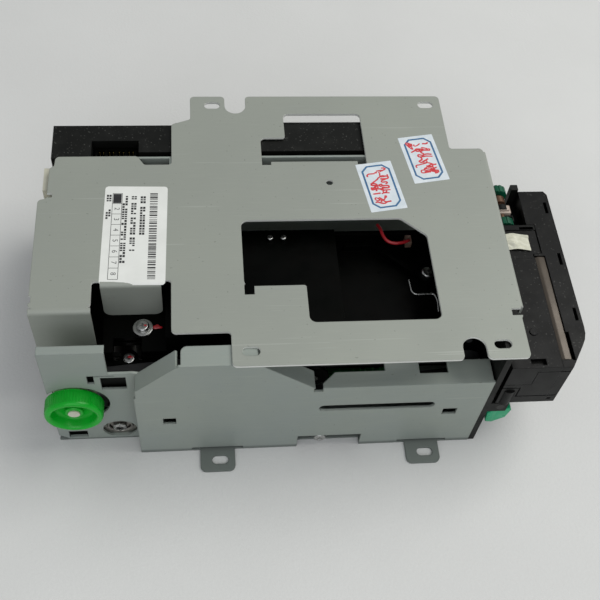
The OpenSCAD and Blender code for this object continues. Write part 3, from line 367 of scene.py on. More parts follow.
class Stock:
    """The finishes of this unit, by what each gives the eye."""

    # satin grey sheet with a green tinge; soft broad highlights
    plate = CoatedSheet("zinc_coated_sheet_plate", "91958d", "94988f", 0.5, 0.12, 60.0, 0.5, 0.004, 0.45,
                        highlight_cut_over_mm=82.85)
    frame = CoatedSheet("zinc_coated_sheet_frame", "8c948f", "90978f", 0.48, 0.15, 50.0, 0.5, 0.004, 0.7)
    tray = CoatedSheet("zinc_coated_sheet_tray", "8c948f", "90978f", 0.48, 0.15, 50.0, 0.5, 0.004, 0.7,
                       shade_under_mm=1.6)
    # deep black-grey moulded covers with a dull sheen and faint dust
    cover = MouldedPlastic("black_abs_textured", "0d0e0c", "111210", 0.5, 0.0, 18.0, 0.45, 0.012, 0.35,
                           shine=0.18, dust=0.05)
    mouth = MouldedPlastic("black_abs_satin", "060606", "0a0a09", 0.4, 0.0, 18.0, 0.5, 0.012, 0.5,
                           shine=0.16, dust=0.04)
    # inner parts: black plastic made darker than its own colour, as painted shade inside the unit
    inner = MouldedPlastic("black_pom_inner_painted_shade", "010201", "030302", 0.36, 0.0, 14.0, 0.5, 0.012, 0.3,
                           shine=0.05, dust=0.0)
    # bright toy-like green and blue-green grips, half gloss
    knob = MouldedPlastic("green_abs_knob", "03a022", "06aa28", 0.32, 0.0, 9.0, 0.5, 0.006, 0.3, shine=0.35, dust=0.0)
    wheel = MouldedPlastic("dark_green_pom", "0a4a34", "0e5a40", 0.38, 0.0, 9.0, 0.5, 0.008, 0.4, shine=0.3, dust=0.0)
    teal = MouldedPlastic("blue_green_pom", "0f9a68", "16a472", 0.34, 0.0, 9.0, 0.5, 0.008, 0.5, shine=0.35, dust=0.0)
    # undyed acetal: milky cream pulleys and shaft ends
    natural = MouldedPlastic("natural_acetal", "c9c7b6", "bdbaa6", 0.38, 0.0, 8.0, 0.5, 0.01, 0.3, dust=0.0)
    beige = MouldedPlastic("beige_connector_nylon", "b3a396", "a6968a", 0.45, 0.0, 5.0, 0.5, 0.01, 0.3, dust=0.1)
    brown = MouldedPlastic("brown_connector_nylon", "6a5548", "5c493e", 0.45, 0.0, 5.0, 0.5, 0.01, 0.3, dust=0.0)
    # bright plated fasteners and shafts
    plated = TurnedMetal("nickel_plated_steel", "b9b9b6", "a5a5a3", 0.26, 1.0, 4.0, 0.4, 0.006, 0.12)
    shafting = TurnedMetal("ground_steel_shaft", "b4b4b2", "a3a3a0", 0.22, 1.0, 6.0, 0.4, 0.004, 0.1, along=Axis.Y)
    motor = TurnedMetal("drawn_steel_can", "a19d97", "8f8b85", 0.34, 1.0, 8.0, 0.5, 0.006, 0.2, along=Axis.Y)
    # worn brown strip with a dull metal sheen
    bronze = TurnedMetal("bronze_antistatic_strip", "544c43", "443d36", 0.36, 0.45, 24.0, 0.6, 0.006, 0.5,
                         along=Axis.Y)
    black_pin = TurnedMetal("blackened_steel_pin", "1c1c1b", "262624", 0.4, 0.6, 6.0, 0.5, 0.006, 0.15, along=Axis.Y)
    brass = TurnedMetal("yellow_zinc_steel", "a08a4c", "8c7a48", 0.38, 0.9, 6.0, 0.5, 0.008, 0.15)
    copper = TurnedMetal("enamelled_copper_wire", "9c4f22", "b0602c", 0.3, 0.85, 3.0, 0.4, 0.004, 0.05)
    collar = TurnedMetal("oiled_bronze_bush", "5d4434", "6e5442", 0.45, 0.6, 5.0, 0.5, 0.008, 0.15, along=Axis.Y)
    # dull grip rubber
    rubber = Finish("nitrile_rubber", "1b1b1c", "232324", 0.72, 0.0, 5.0, 0.35, 0.03, 0.3)
    board = BoardLaminate("solder_resist_board", "0f4a26", "13552d", 0.36, 0.0, 9.0, 0.5, 0.02, 0.1)
    wire = Finish("red_pvc_wire", "8e1019", "9c1620", 0.4, 0.0, 3.0, 0.4, 0.006, 0.05)
    # matt white paper labels, off-white hand-made tape
    label = Finish("coated_label_stock", "dcddd8", "e4e5e0", 0.4, 0.0, 14.0, 0.6, 0.004, 0.02)
    sticker = Finish("uncoated_sticker_paper", "c9d2d8", "d8dee2", 0.7, 0.0, 6.0, 0.3, 0.01, 0.02)
    tape = Finish("crepe_tape_white", "c4c3b0", "d6d5c4", 0.6, 0.0, 3.0, 0.5, 0.03, 0.1)
    # thermal black, pen blue and marker red
    ink_black = Print("thermal_print_black", "1c1c1d", "2c2c2e", 0.5, 0.0, 4.0)
    ink_grey = Print("thermal_print_grey", "4b4b4c", "5a5a5b", 0.5, 0.0, 4.0)
    ink_blue = Print("border_print_blue", "2f5d86", "3d6d95", 0.55, 0.0, 4.0)
    ink_red = Print("marker_red", "c0242c", "d2454a", 0.5, 0.0, 3.0)
    # clear red varnish that locks the screws
    lacquer = Finish("screw_locking_lacquer", "a5141e", "bb1c26", 0.16, 0.0, 2.0, 1.0, 0.05, 0.0, coat=0.6)
    floor = Finish("pale_foam_sheet", "d2d2d0", "d5d5d3", 0.8, 0.0, 90.0, 1.6, 0.12, 0.0, shine=0.2)


# ---- modelling helpers -----------------------------------------------------


def to_object_mode() -> None:
    """Leaves edit mode if it is on."""
    if bpy.context.mode != "OBJECT":
        bpy.ops.object.mode_set(mode="OBJECT")


def solo(piece: bpy.types.Object) -> None:
    """Selects this piece alone and makes it active."""
    to_object_mode()
    bpy.ops.object.select_all(action="DESELECT")
    piece.select_set(True)
    bpy.context.view_layer.objects.active = piece


def start(adder: Callable[..., Any], name: str, **sizes: Any) -> bpy.types.Object:
    """Adds one primitive with nothing else selected.

    Args:
        adder: the operator that adds it.
        name: the piece's name.
        sizes: the operator's sizes and place, in metres.

    Returns:
        The new piece, with its place in its mesh.
    """
    to_object_mode()
    bpy.ops.object.select_all(action="DESELECT")
    adder(**sizes)
    piece = bpy.context.view_layer.objects.active
    piece.name = name
    settle(piece)
    return piece


def block(name: str, low: Sequence[float], high: Sequence[float]) -> bpy.types.Object:
    """A block between two corners in millimetres, to be shaped further."""
    centre = [(a + b) / 2 * MM for a, b in zip(low, high)]
    size = [(b - a) * MM for a, b in zip(low, high)]
    return start(bpy.ops.mesh.primitive_cube_add, name, size=1, location=centre, scale=size)


def rod(name: str, centre: Sequence[float], radius: float, length: float, axis: Axis,
        sides: int = 32) -> bpy.types.Object:
    """A round bar in millimetres along an axis, to be shaped further."""
    turn = {Axis.X: (0, math.pi / 2, 0), Axis.Y: (math.pi / 2, 0, 0), Axis.Z: (0, 0, 0)}[axis]
    return start(bpy.ops.mesh.primitive_cylinder_add, name, vertices=sides, radius=radius * MM,
                 depth=length * MM, location=[c * MM for c in centre], rotation=turn)


def turned(name: str, profile: Sequence[Tuple[float, float]], x: float, z: float,
           steps: int = 72) -> bpy.types.Object:
    """Turns a closed outline about an axis along Y, as on a lathe.

    Args:
        name: the piece's name.
        profile: radius and Y of each corner of the outline, in millimetres.
        x: place of the axis along X, in millimetres.
        z: place of the axis along Z, in millimetres.
        steps: number of faces round.

    Returns:
        The new piece.
    """
    first = profile[0]
    piece = start(bpy.ops.mesh.primitive_plane_add, name, size=MM,
                  location=((x + first[0]) * MM, first[1] * MM, z * MM))
    bpy.context.tool_settings.mesh_select_mode = (True, False, False)
    bpy.ops.object.mode_set(mode="EDIT")
    bpy.ops.mesh.select_all(action="SELECT")
    bpy.ops.mesh.merge(type="CENTER")
    last = first
    for point in list(profile[1:]) + [first]:
        move = ((point[0] - last[0]) * MM, (point[1] - last[1]) * MM, 0)
        bpy.ops.mesh.extrude_vertices_move(TRANSFORM_OT_translate={"value": move})
        last = point
    bpy.ops.mesh.select_all(action="SELECT")
    bpy.ops.mesh.spin(steps=steps, angle=math.tau, center=(x * MM, 0, z * MM), axis=(0, 1, 0))
    bpy.ops.mesh.select_all(action="SELECT")
    bpy.ops.mesh.remove_doubles(threshold=1e-6)
    bpy.ops.mesh.normals_make_consistent(inside=False)
    bpy.ops.object.mode_set(mode="OBJECT")
    return piece


def settle(piece: bpy.types.Object) -> None:
    """Moves the piece's place, turn and scale into its mesh."""
    solo(piece)
    bpy.ops.object.transform_apply(location=True, rotation=True, scale=True)


def pick_faces(piece: bpy.types.Object, test: Callable[[Vector, Vector], bool]) -> None:
    """Goes to edit mode with the faces selected whose centre (mm) and normal pass the test."""
    solo(piece)
    mesh = piece.data
    for part in (mesh.vertices, mesh.edges, mesh.polygons):
        part.foreach_set("select", [False] * len(part))
    for face in mesh.polygons:
        face.select = test(face.center / MM, face.normal)
    bpy.context.tool_settings.mesh_select_mode = (False, False, True)
    bpy.ops.object.mode_set(mode="EDIT")


def pick_edges(piece: bpy.types.Object, test: Callable[[Vector, Vector], bool]) -> None:
    """Goes to edit mode with the edges selected whose two ends (mm) pass the test."""
    solo(piece)
    mesh = piece.data
    for part in (mesh.vertices, mesh.edges, mesh.polygons):
        part.foreach_set("select", [False] * len(part))
    for edge in mesh.edges:
        a, b = (mesh.vertices[i].co / MM for i in edge.vertices)
        edge.select = test(a, b)
    bpy.context.tool_settings.mesh_select_mode = (False, True, False)
    bpy.ops.object.mode_set(mode="EDIT")


def extrude(move: Sequence[float]) -> None:
    """Extrudes the selected faces by a move in millimetres."""
    bpy.ops.mesh.extrude_region_move(TRANSFORM_OT_translate={"value": [m * MM for m in move]})


def bevel_modifier(piece: bpy.types.Object, width: float, segments: int = 3, angle: float = 40.0) -> None:
    """Rounds the edges sharper than angle, and applies it."""
    solo(piece)
    modifier = piece.modifiers.new("round", "BEVEL")
    modifier.width = width * MM
    modifier.segments = segments
    modifier.limit_method = "ANGLE"
    modifier.angle_limit = math.radians(angle)
    modifier.use_clamp_overlap = True
    bpy.ops.object.modifier_apply(modifier=modifier.name)


def carve(piece: bpy.types.Object, cutters: Sequence[bpy.types.Object]) -> None:
    """Cuts the cutters out of the piece and removes them."""
    for cutter in cutters:
        solo(piece)
        modifier = piece.modifiers.new("cut", "BOOLEAN")
        modifier.operation = "DIFFERENCE"
        modifier.solver = "EXACT"
        modifier.object = cutter
        bpy.ops.object.modifier_apply(modifier=modifier.name)
        bpy.data.objects.remove(cutter)


def thicken(piece: bpy.types.Object, thickness: float) -> None:
    """Gives a flat mesh its thickness upwards, closed all round."""
    solo(piece)
    modifier = piece.modifiers.new("thick", "SOLIDIFY")
    modifier.thickness = thickness * MM
    modifier.offset = 1.0
    bpy.ops.object.modifier_apply(modifier=modifier.name)


def join(name: str, pieces: Sequence[bpy.types.Object]) -> bpy.types.Object:
    """Joins pieces into one."""
    solo(pieces[0])
    for piece in pieces[1:]:
        piece.select_set(True)
    bpy.ops.object.join()
    pieces[0].name = name
    return pieces[0]


def twin(piece: bpy.types.Object, name: str, move: Sequence[float]) -> bpy.types.Object:
    """A copy with its own mesh, moved by millimetres."""
    copy = piece.copy()
    copy.data = piece.data.copy()
    copy.name = name
    bpy.context.scene.collection.objects.link(copy)
    copy.data.transform(Matrix.Translation(Vector(move) * MM))
    return copy


def wire(name: str, points: Sequence[Point], diameter: float) -> bpy.types.Object:
    """A short wire held inside the unit, along a smooth curve through points in millimetres."""
    to_object_mode()
    curve = bpy.data.curves.new(name, "CURVE")
    curve.dimensions = "3D"
    spline = curve.splines.new("BEZIER")
    spline.bezier_points.add(len(points) - 1)
    for knot, point in zip(spline.bezier_points, points):
        knot.co = Vector(point) * MM
        knot.handle_left_type = knot.handle_right_type = "AUTO"
    curve.bevel_depth = diameter / 2 * MM
    curve.bevel_resolution = 4
    curve.resolution_u = 10
    curve.use_fill_caps = True
    piece = bpy.data.objects.new(name, curve)
    bpy.context.scene.collection.objects.link(piece)
    solo(piece)
    bpy.ops.object.convert(target="MESH")
    return bpy.context.view_layer.objects.active


def finish(piece: bpy.types.Object, body: str, look: Finish, smooth: float = 35.0,
           fix_normals: bool = True) -> bpy.types.Object:
    """Closes the work on a piece: normals, shading, material and body.

    Args:
        piece: the piece, in place.
        body: the body it moves with.
        look: its finish.
        smooth: angle under which shading is smooth, in degrees.
        fix_normals: whether to turn the faces outward.

    Returns:
        The piece.
    """
    settle(piece)
    if fix_normals:
        bpy.ops.object.mode_set(mode="EDIT")
        bpy.ops.mesh.select_all(action="SELECT")
        bpy.ops.mesh.remove_doubles(threshold=1e-7)
        bpy.ops.mesh.normals_make_consistent(inside=False)
        bpy.ops.object.mode_set(mode="OBJECT")
    bpy.ops.object.shade_smooth_by_angle(angle=math.radians(smooth))
    piece.data.materials.clear()
    piece.data.materials.append(look.build())
    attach(piece, body)
    LOG.info("%s rides on %s", piece.name, body)
    return piece


def corners(node: str) -> Tuple[Vector, Vector]:
    """A CAD node's lowest and highest corners, in millimetres."""
    low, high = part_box(node)
    return low / MM, high / MM


# ---- sub-assemblies --------------------------------------------------------


@dataclass
class Metalwork:
    """The bent sheet frame and its zinc coat."""

    body: str = "frame"

    def dress(self) -> None:
        """Coats the CAD sheets."""
        paint(Stock.plate, "top_plate")
        paint(Stock.frame, "rear_bracket", "motor_mount")
        paint(Stock.tray, "tray")


@dataclass
class Fasteners:
    """Cross-recess screws with their washers, boss and locking lacquer."""

    body: str = "frame"
    head_r: float = 3.0
    head_h: float = 2.1
    recess_r: float = 1.6
    washer_r: float = 4.6
    washer_t: float = 0.9

    def screw(self, name: str) -> bpy.types.Object:
        """One pan head at the origin, looking up."""
        head = rod(name, (0, 0, self.head_h / 2), self.head_r, self.head_h, Axis.Z, 40)
        pick_faces(head, lambda c, n: n.z > 0.9)
        bpy.ops.mesh.bevel(offset=0.9 * MM, segments=5, affect="EDGES")
        to_object_mode()
        cutters = []
        for turn in (0.0, math.pi / 2):
            slot = block("recess", (-self.recess_r, -0.3, self.head_h - 1.1), (self.recess_r, 0.3, self.head_h + 1))
            pick_faces(slot, lambda c, n: n.z < -0.9)
            bpy.ops.transform.resize(value=(0.45, 0.7, 1))
            to_object_mode()
            slot.data.transform(Matrix.Rotation(turn, 4, "Z"))
            cutters.append(slot)
        carve(head, cutters)
        return head

    def washer(self, name: str) -> bpy.types.Object:
        """A flat washer at the origin."""
        ring = start(bpy.ops.mesh.primitive_circle_add, name, vertices=44, radius=self.washer_r * MM)
        solo(ring)
        bpy.ops.object.mode_set(mode="EDIT")
        bpy.ops.mesh.select_all(action="SELECT")
        bpy.ops.mesh.extrude_edges_move()
        bpy.ops.transform.resize(value=(0.42, 0.42, 1))
        bpy.ops.mesh.select_all(action="SELECT")
        to_object_mode()
        thicken(ring, self.washer_t)
        bevel_modifier(ring, 0.16, 2)
        return ring

    def blob(self, name: str, place: Point, size: Point, seed: int) -> bpy.types.Object:
        """A drop of locking lacquer that has run a little."""
        drop = start(bpy.ops.mesh.primitive_ico_sphere_add, name, subdivisions=3, radius=MM,
                     location=(0, 0, 0))
        rng = random.Random(seed)
        phases = [rng.uniform(0, math.tau) for _ in range(3)]
        for vertex in drop.data.vertices:
            angle = math.atan2(vertex.co.y, vertex.co.x)
            swell = 1 + sum(0.14 * math.sin((k + 2) * angle + p) for k, p in enumerate(phases))
            vertex.co.x *= swell * size[0]
            vertex.co.y *= swell * size[1]
            vertex.co.z *= size[2]
        drop.data.transform(Matrix.Translation(Vector(place) * MM))
        return finish(drop, self.body, Stock.lacquer, 180)

    def build(self) -> None:
        """Puts a detailed fastener in the place of each plain one."""
        master = self.screw("screw_master")
        low, high = corners("washer_screw")
        x, y, z = (low.x + high.x) / 2, (low.y + high.y) / 2, high.z - 2.0
        body = twin(master, "washer_screw_fine", (x, y, z))
        ring = self.washer("washer")
        ring.data.transform(Matrix.Translation(Vector((x, y, z - self.washer_t)) * MM))
        body = join("washer_screw_fine", [body, ring])
        finish(body, self.body, Stock.plated, 30)
        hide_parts("washer_screw")
        self.blob("lock_paint_a", (x + 6.2, y + 0.6, z - 0.9), (2.2, 1.3, 0.5), 3)
        self.blob("lock_paint_c", (x + 1.2, y - 0.2, z + 1.9), (0.9, 0.6, 0.35), 5)

        for node in ("recessed_screw", "window_screw"):
            low, high = corners(node)
            x, y, z = (low.x + high.x) / 2, (low.y + high.y) / 2, high.z - 2.0
            body = twin(master, node + "_fine", (x, y, z))
            finish(body, self.body, Stock.plated, 30)
            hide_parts(node)
            if node == "recessed_screw":
                self.blob("lock_paint_b", (x + 0.7, y + 0.3, z + 1.9), (1.3, 0.8, 0.45), 9)

        low, high = corners("notch_screw")
        body = twin(master, "notch_screw_head", (0, 0, 0))
        body.data.transform(Matrix.Rotation(math.pi / 2, 4, "X"))
        body.data.transform(Matrix.Translation(Vector(((low.x + high.x) / 2, low.y + 2.1, 7.4)) * MM))
        lug = block("lug", (low.x, low.y + 4.2, low.z), (high.x, high.y, high.z))
        pick_edges(lug, lambda a, b: a.z > high.z - 0.1 and b.z > high.z - 0.1 and abs(a.x - b.x) < 0.1)
        bpy.ops.mesh.bevel(offset=2.5 * MM, segments=5, affect="EDGES")
        to_object_mode()
        shank = rod("shank", ((low.x + high.x) / 2, low.y + 3.2, 7.4), 1.5, 2.6, Axis.Y, 24)
        body = join("notch_screw_fine", [body, lug, shank])
        finish(body, self.body, Stock.plated, 30)
        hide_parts("notch_screw")
        bpy.data.objects.remove(master)


@dataclass
class Labels:
    """Paper on the plate: a printed label and two hand-marked stickers."""

    body: str = "frame"
    paper_t: float = 0.06
    ink_t: float = 0.015
    lift: float = 0.004
    width: float = 29.3
    height: float = 56.7
    turn: float = -1.2
    corner: float = 1.7
    bend_r: float = 2.5
    bend_start: float = 26.2

    def sheet(self, name: str, width: float, height: float, corner: float) -> bpy.types.Object:
        """A flat sheet about the origin with rounded corners."""
        sheet = block(name, (-width / 2, -height / 2, 0), (width / 2, height / 2, self.paper_t))
        pick_edges(sheet, lambda a, b: abs(a.z - b.z) > self.paper_t / 2)
        bpy.ops.mesh.bevel(offset=corner * MM, segments=5, affect="EDGES")
        to_object_mode()
        return sheet

    def cells(self, name: str, columns: Sequence[Tuple[float, float]], rows: Sequence[Tuple[float, float]],
              keep: Callable[[int, int], bool]) -> bpy.types.Object:
        """Flat ink rectangles at the crossings of columns (x from, to) and rows (y from, to)."""
        patches = []
        for i, (x0, x1) in enumerate(columns):
            for j, (y0, y1) in enumerate(rows):
                if keep(i, j):
                    patches.append((x0, y0, x1, y1))
        first = None
        made = []
        for x0, y0, x1, y1 in patches:
            if first is None:
                first = start(bpy.ops.mesh.primitive_plane_add, name, size=MM)
                base = first.data.copy()
                patch = first
            else:
                patch = first.copy()
                patch.data = base.copy()
                bpy.context.scene.collection.objects.link(patch)
            patch.data.transform(Matrix.Diagonal((x1 - x0, y1 - y0, 1, 1)))
            patch.data.transform(Matrix.Translation(Vector(((x0 + x1) / 2, (y0 + y1) / 2, 0)) * MM))
            made.append(patch)
        ink = join(name, made)
        thicken(ink, self.ink_t)
        return ink

    def drop(self, piece: bpy.types.Object, centre: Point, turn: float) -> None:
        """Turns a flat piece and lays it at a place in millimetres."""
        piece.data.transform(Matrix.Rotation(math.radians(turn), 4, "Z"))
        piece.data.transform(Matrix.Translation(Vector(centre) * MM))

    def hang(self, piece: bpy.types.Object) -> None:
        """Lets the near end of a flat piece follow the bend of the sheet under it."""
        solo(piece)
        for k in range(6):
            bpy.ops.object.mode_set(mode="EDIT")
            bpy.ops.mesh.select_all(action="SELECT")
            bpy.ops.mesh.bisect(plane_co=(0, -(self.bend_start + 0.4 * k) * MM, 0), plane_no=(0, 1, 0))
            to_object_mode()
        for vertex in piece.data.vertices:
            over = -vertex.co.y / MM - self.bend_start
            if over > 0:
                angle = min(over / self.bend_r, 1.2)
                vertex.co.z -= self.bend_r * (1 - math.cos(angle)) * MM
                vertex.co.y += (over - self.bend_r * math.sin(angle)) * MM

    def printed_label(self) -> None:
        """The white label: bars, lines of small print and a row of numbered boxes."""
        low, high = corners("label")
        centre = ((low.x + high.x) / 2, (low.y + high.y) / 2, low.z)
        sheet = self.sheet("label_sheet", self.width, self.height, self.corner)
        self.hang(sheet)
        self.drop(sheet, centre, self.turn)
        finish(sheet, self.body, Stock.label, 30)
        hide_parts("label")
        top = (centre[0], centre[1], low.z + self.paper_t + self.lift)

        rng = random.Random(12)
        rows: List[Tuple[float, float]] = []
        y = 24.2
        while y > -25.6:
            tall = rng.choice((0.28, 0.28, 0.55, 0.8))
            rows.append((y - tall, y))
            y -= tall + rng.choice((0.3, 0.3, 0.55, 0.8))
        bars = self.cells("label_bars", [(6.5, 10.1)], rows, lambda i, j: True)
        self.drop(bars, top, self.turn)
        finish(bars, self.body, Stock.ink_black, 30)

        lines = [(3.3, 22.3, 25.4, 2.4), (-0.9, 22.4, 31.8, 2.4), (-5.0, 22.5, 38.4, 2.4), (-12.6, 23.2, 13.6, 2.2)]
        made = []
        for k, (x, y0, length, tall) in enumerate(lines):
            marks: List[Tuple[float, float]] = []
            y = y0
            while y > y0 - length:
                wide = rng.choice((0.8, 1.1, 1.3))
                if rng.random() > 0.14:
                    marks.append((y - wide, y))
                y -= wide + 0.42
            made.append(self.cells(f"row_{k}", [(x - tall / 2, x - 0.12), (x + 0.12, x + tall / 2)], marks,
                                   lambda i, j: rng.random() > 0.22))
        small = join("label_small_print", made)
        self.drop(small, top, self.turn)
        finish(small, self.body, Stock.ink_black, 30)
        self.numbered_boxes(top)

    def numbered_boxes(self, top: Point) -> None:
        """Eight ruled boxes, the first one filled, with plain numbers in the rest."""
        x0, x1, y0, y1, line = -10.9, -6.5, 24.0, -25.6, 0.22
        step = (y0 - y1) / 8
        rules = []
        for k in range(9):
            rules.append((x0, y0 - k * step - line / 2, x1, y0 - k * step + line / 2))
        for x in (x0, x1):
            rules.append((x - line / 2, y1, x + line / 2, y0))
        rules.append((x0 + 0.3, y0 - step + 0.3, x1 - 0.3, y0 - 0.3))
        made = []
        for k, (a, b, c, d) in enumerate(rules):
            rule = start(bpy.ops.mesh.primitive_plane_add, f"rule_{k}", size=MM)
            rule.data.transform(Matrix.Diagonal((c - a, d - b, 1, 1)))
            rule.data.transform(Matrix.Translation(Vector(((a + c) / 2, (b + d) / 2, 0.002 * k)) * MM))
            made.append(rule)
        boxes = join("label_boxes", made)
        thicken(boxes, self.ink_t)
        self.drop(boxes, top, self.turn)
        finish(boxes, self.body, Stock.ink_black, 30)
        digits = []
        for k in range(1, 8):
            to_object_mode()
            bpy.ops.object.select_all(action="DESELECT")
            bpy.ops.object.text_add()
            digit = bpy.context.view_layer.objects.active
            digit.data.body = str(k + 1)
            digit.data.size = 3.4 * MM
            digit.data.align_x = "CENTER"
            digit.data.align_y = "CENTER"
            solo(digit)
            bpy.ops.object.convert(target="MESH")
            digit = bpy.context.view_layer.objects.active
            digit.data.transform(Matrix.Rotation(-math.pi / 2, 4, "Z"))
            digit.data.transform(Matrix.Translation(
                Vector(((x0 + x1) / 2, y0 - (k + 0.5) * step, 0)) * MM))
            digits.append(digit)
        numbers = join("label_numbers", digits)
        thicken(numbers, self.ink_t)
        self.drop(numbers, top, self.turn)
        finish(numbers, self.body, Stock.ink_grey, 30)

    def ring(self, name: str, width: float, height: float, cut: float, line: float) -> bpy.types.Object:
        """A ruled border with cut corners, about the origin."""
        outer = block(name, (-width / 2, -height / 2, 0), (width / 2, height / 2, self.ink_t))
        pick_edges(outer, lambda a, b: abs(a.z - b.z) > self.ink_t / 2)
        bpy.ops.mesh.bevel(offset=cut * MM, segments=1, affect="EDGES")
        pick_faces(outer, lambda c, n: abs(n.z) > 0.9)
        bpy.ops.mesh.inset(thickness=line * MM)
        bpy.ops.mesh.bridge_edge_loops()
        to_object_mode()
        return outer

    def scribble(self, name: str, width: float, height: float, seed: int) -> bpy.types.Object:
        """Loose marker strokes in clusters, with no letter in them."""
        rng = random.Random(seed)
        strokes = []
        count = 6
        for k in range(count):
            middle = height * (0.5 - (k + 0.5) / count)
            for _ in range(4):
                x, y = rng.uniform(-0.3, 0.3) * width, middle + rng.uniform(-0.35, 0.35) * height / count
                path = [(x, y)]
                for _ in range(rng.choice((2, 3))):
                    x = max(-width / 2, min(width / 2, x + rng.uniform(-0.55, 0.55) * width))
                    y += rng.uniform(-0.45, 0.45) * height / count
                    y = max(-height / 2, min(height / 2, y))
                    path.append((x, y))
                strokes.append(wire(f"stroke_{k}", [(px, py, 0) for px, py in path], rng.uniform(0.62, 0.95)))
        marks = join(name, strokes)
        marks.data.transform(Matrix.Diagonal((1, 1, 0.04, 1)))
        return marks

    def sticker(self, node: str, turn: float, seed: int) -> None:
        """One small sticker with a blue border and red marker strokes."""
        low, high = corners(node)
        centre = ((low.x + high.x) / 2, (low.y + high.y) / 2, low.z)
        width, height = 18.2, 30.6
        sheet = self.sheet(node + "_sheet", width, height, 0.4)
        self.drop(sheet, centre, turn)
        finish(sheet, self.body, Stock.sticker, 30)
        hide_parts(node)
        top = (centre[0], centre[1], low.z + self.paper_t + self.lift)
        border = self.ring(node + "_border", width - 3.6, height - 3.4, 3.2, 0.95)
        self.drop(border, top, turn)
        finish(border, self.body, Stock.ink_blue, 30)
        marks = self.scribble(node + "_marks", width - 8.2, height - 8.2, seed)
        self.drop(marks, (top[0], top[1], top[2] + 0.01), turn)
        finish(marks, self.body, Stock.ink_red, 60)

    def build(self) -> None:
        """Makes all the paper."""
        self.printed_label()
        self.sticker("sticker_front", 8.5, 21)
        self.sticker("sticker_back", 8.5, 34)


@dataclass
class HandKnob:
    """The green cup knob, bored to fit its shaft."""

    body: str = "knob"
    opening_r: float = 10.3
    hub_r: float = 4.3
    pocket: float = 5.4
    ribs: int = 60

    def build(self) -> None:
        """Turns the cup with its soft rim and raises fine ribs on its barrel."""
        low, high = corners("hand_knob")
        radius = (high.x - low.x) / 2 - 0.2
        bore = (corners("knob_shaft")[1].x - corners("knob_shaft")[0].x) / 2
        x, z = (low.x + high.x) / 2, (low.z + high.z) / 2
        y0, y1 = low.y, high.y
        rim = self.opening_r
        cup = turned("knob_cup", [
            (bore, y0 + 2.6), (self.hub_r - 0.4, y0 + 2.6), (self.hub_r, y0 + 3.0), (self.hub_r, y0 + 5.0),
            (self.hub_r + 0.5, y0 + self.pocket), (rim - 1.8, y0 + self.pocket), (rim - 1.1, y0 + 4.9),
            (rim - 0.8, y0 + 4.1), (rim - 0.3, y0 + 1.6), (rim + 0.05, y0 + 0.75), (rim + 0.5, y0 + 0.25),
            (rim + 1.1, y0 + 0.02), (radius - 1.5, y0), (radius - 0.9, y0 + 0.18), (radius - 0.4, y0 + 0.55),
            (radius - 0.1, y0 + 1.1), (radius, y0 + 1.8), (radius, y1 - 0.5), (radius - 0.5, y1), (bore, y1)],
            x, z, self.ribs * 2)
        step = math.tau / (self.ribs * 2)

        def on_rib(c: Vector, n: Vector) -> bool:
            """Every other face of the barrel behind the rim."""
            turn = int(round(math.atan2(c.z - z, c.x - x) / step - 0.5))
            return abs(n.y) < 0.1 and math.hypot(c.x - x, c.z - z) > radius - 0.3 and turn % 2 == 0

        pick_faces(cup, on_rib)
        bpy.ops.mesh.inset(thickness=0.08 * MM, use_individual=True)
        bpy.ops.mesh.extrude_region_shrink_fatten(TRANSFORM_OT_shrink_fatten={"value": 0.12 * MM})
        to_object_mode()
        finish(cup, self.body, Stock.knob, 40)
        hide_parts("hand_knob")


@dataclass
class Drive:
    """What shows of the drive through the holes of the rear bracket."""

    seat_r: float = 9.4
    ring_r: float = 6.4
    ring_bore: float = 5.0
    nut_r: float = 3.7

    def build(self) -> None:
        """The motor's bearing seat, its nut and black blocks behind the small windows, which paint the shade seen
        through them.
        """
        bracket_y = corners("rear_bracket")[0].y
        back = bracket_y + 1.2
        low, high = corners("motor_shaft")
        x, z = (low.x + high.x) / 2, (low.z + high.z) / 2
        seat = turned("motor_bearing_seat", [
            (self.ring_bore, back + 1.2), (self.ring_bore, back - 0.1), (self.ring_bore + 0.3, back - 0.5),
            (self.ring_r - 0.4, back - 0.5), (self.ring_r, back - 0.1), (self.ring_r + 0.3, back + 0.4),
            (self.seat_r, back + 0.4), (self.seat_r, back + 1.2)], x, z)
        finish(seat, "frame", Stock.motor, 30)
        nut = rod("motor_nut", (x, back - 0.2, z), self.nut_r, 2.6, Axis.Y, 6)
        bevel_modifier(nut, 0.4, 3)
        pick_faces(nut, lambda c, n: n.y < -0.9)
        bpy.ops.mesh.inset(thickness=1.3 * MM)
        extrude((0, 0.6, 0))
        to_object_mode()
        finish(nut, "motor_rotor", Stock.plated, 30)
        knob_low, knob_high = corners("hand_knob")
        knob_x = (knob_low.x + knob_high.x) / 2
        # painted shade: black blocks behind the bracket's windows so they read dark; the low one also stands for a
        # cable duct
        for name, x0, x1, z0, z1 in (("cable_duct_shade_block", knob_x - 8.5, knob_x + 5.5, 2.5, 10.5),
                                     ("window_shade_block", knob_x + 7.0, knob_x + 26.5, 47.6, 61.8)):
            shade_block = block(name, (x0, back + 0.05, z0), (x1, back + 1.6, z1))
            pick_faces(shade_block, lambda c, n: n.y < -0.9)
            bpy.ops.mesh.inset(thickness=0.8 * MM)
            extrude((0, 0.7, 0))
            to_object_mode()
            bevel_modifier(shade_block, 0.25, 2)
            finish(shade_block, "frame", Stock.inner, 30)


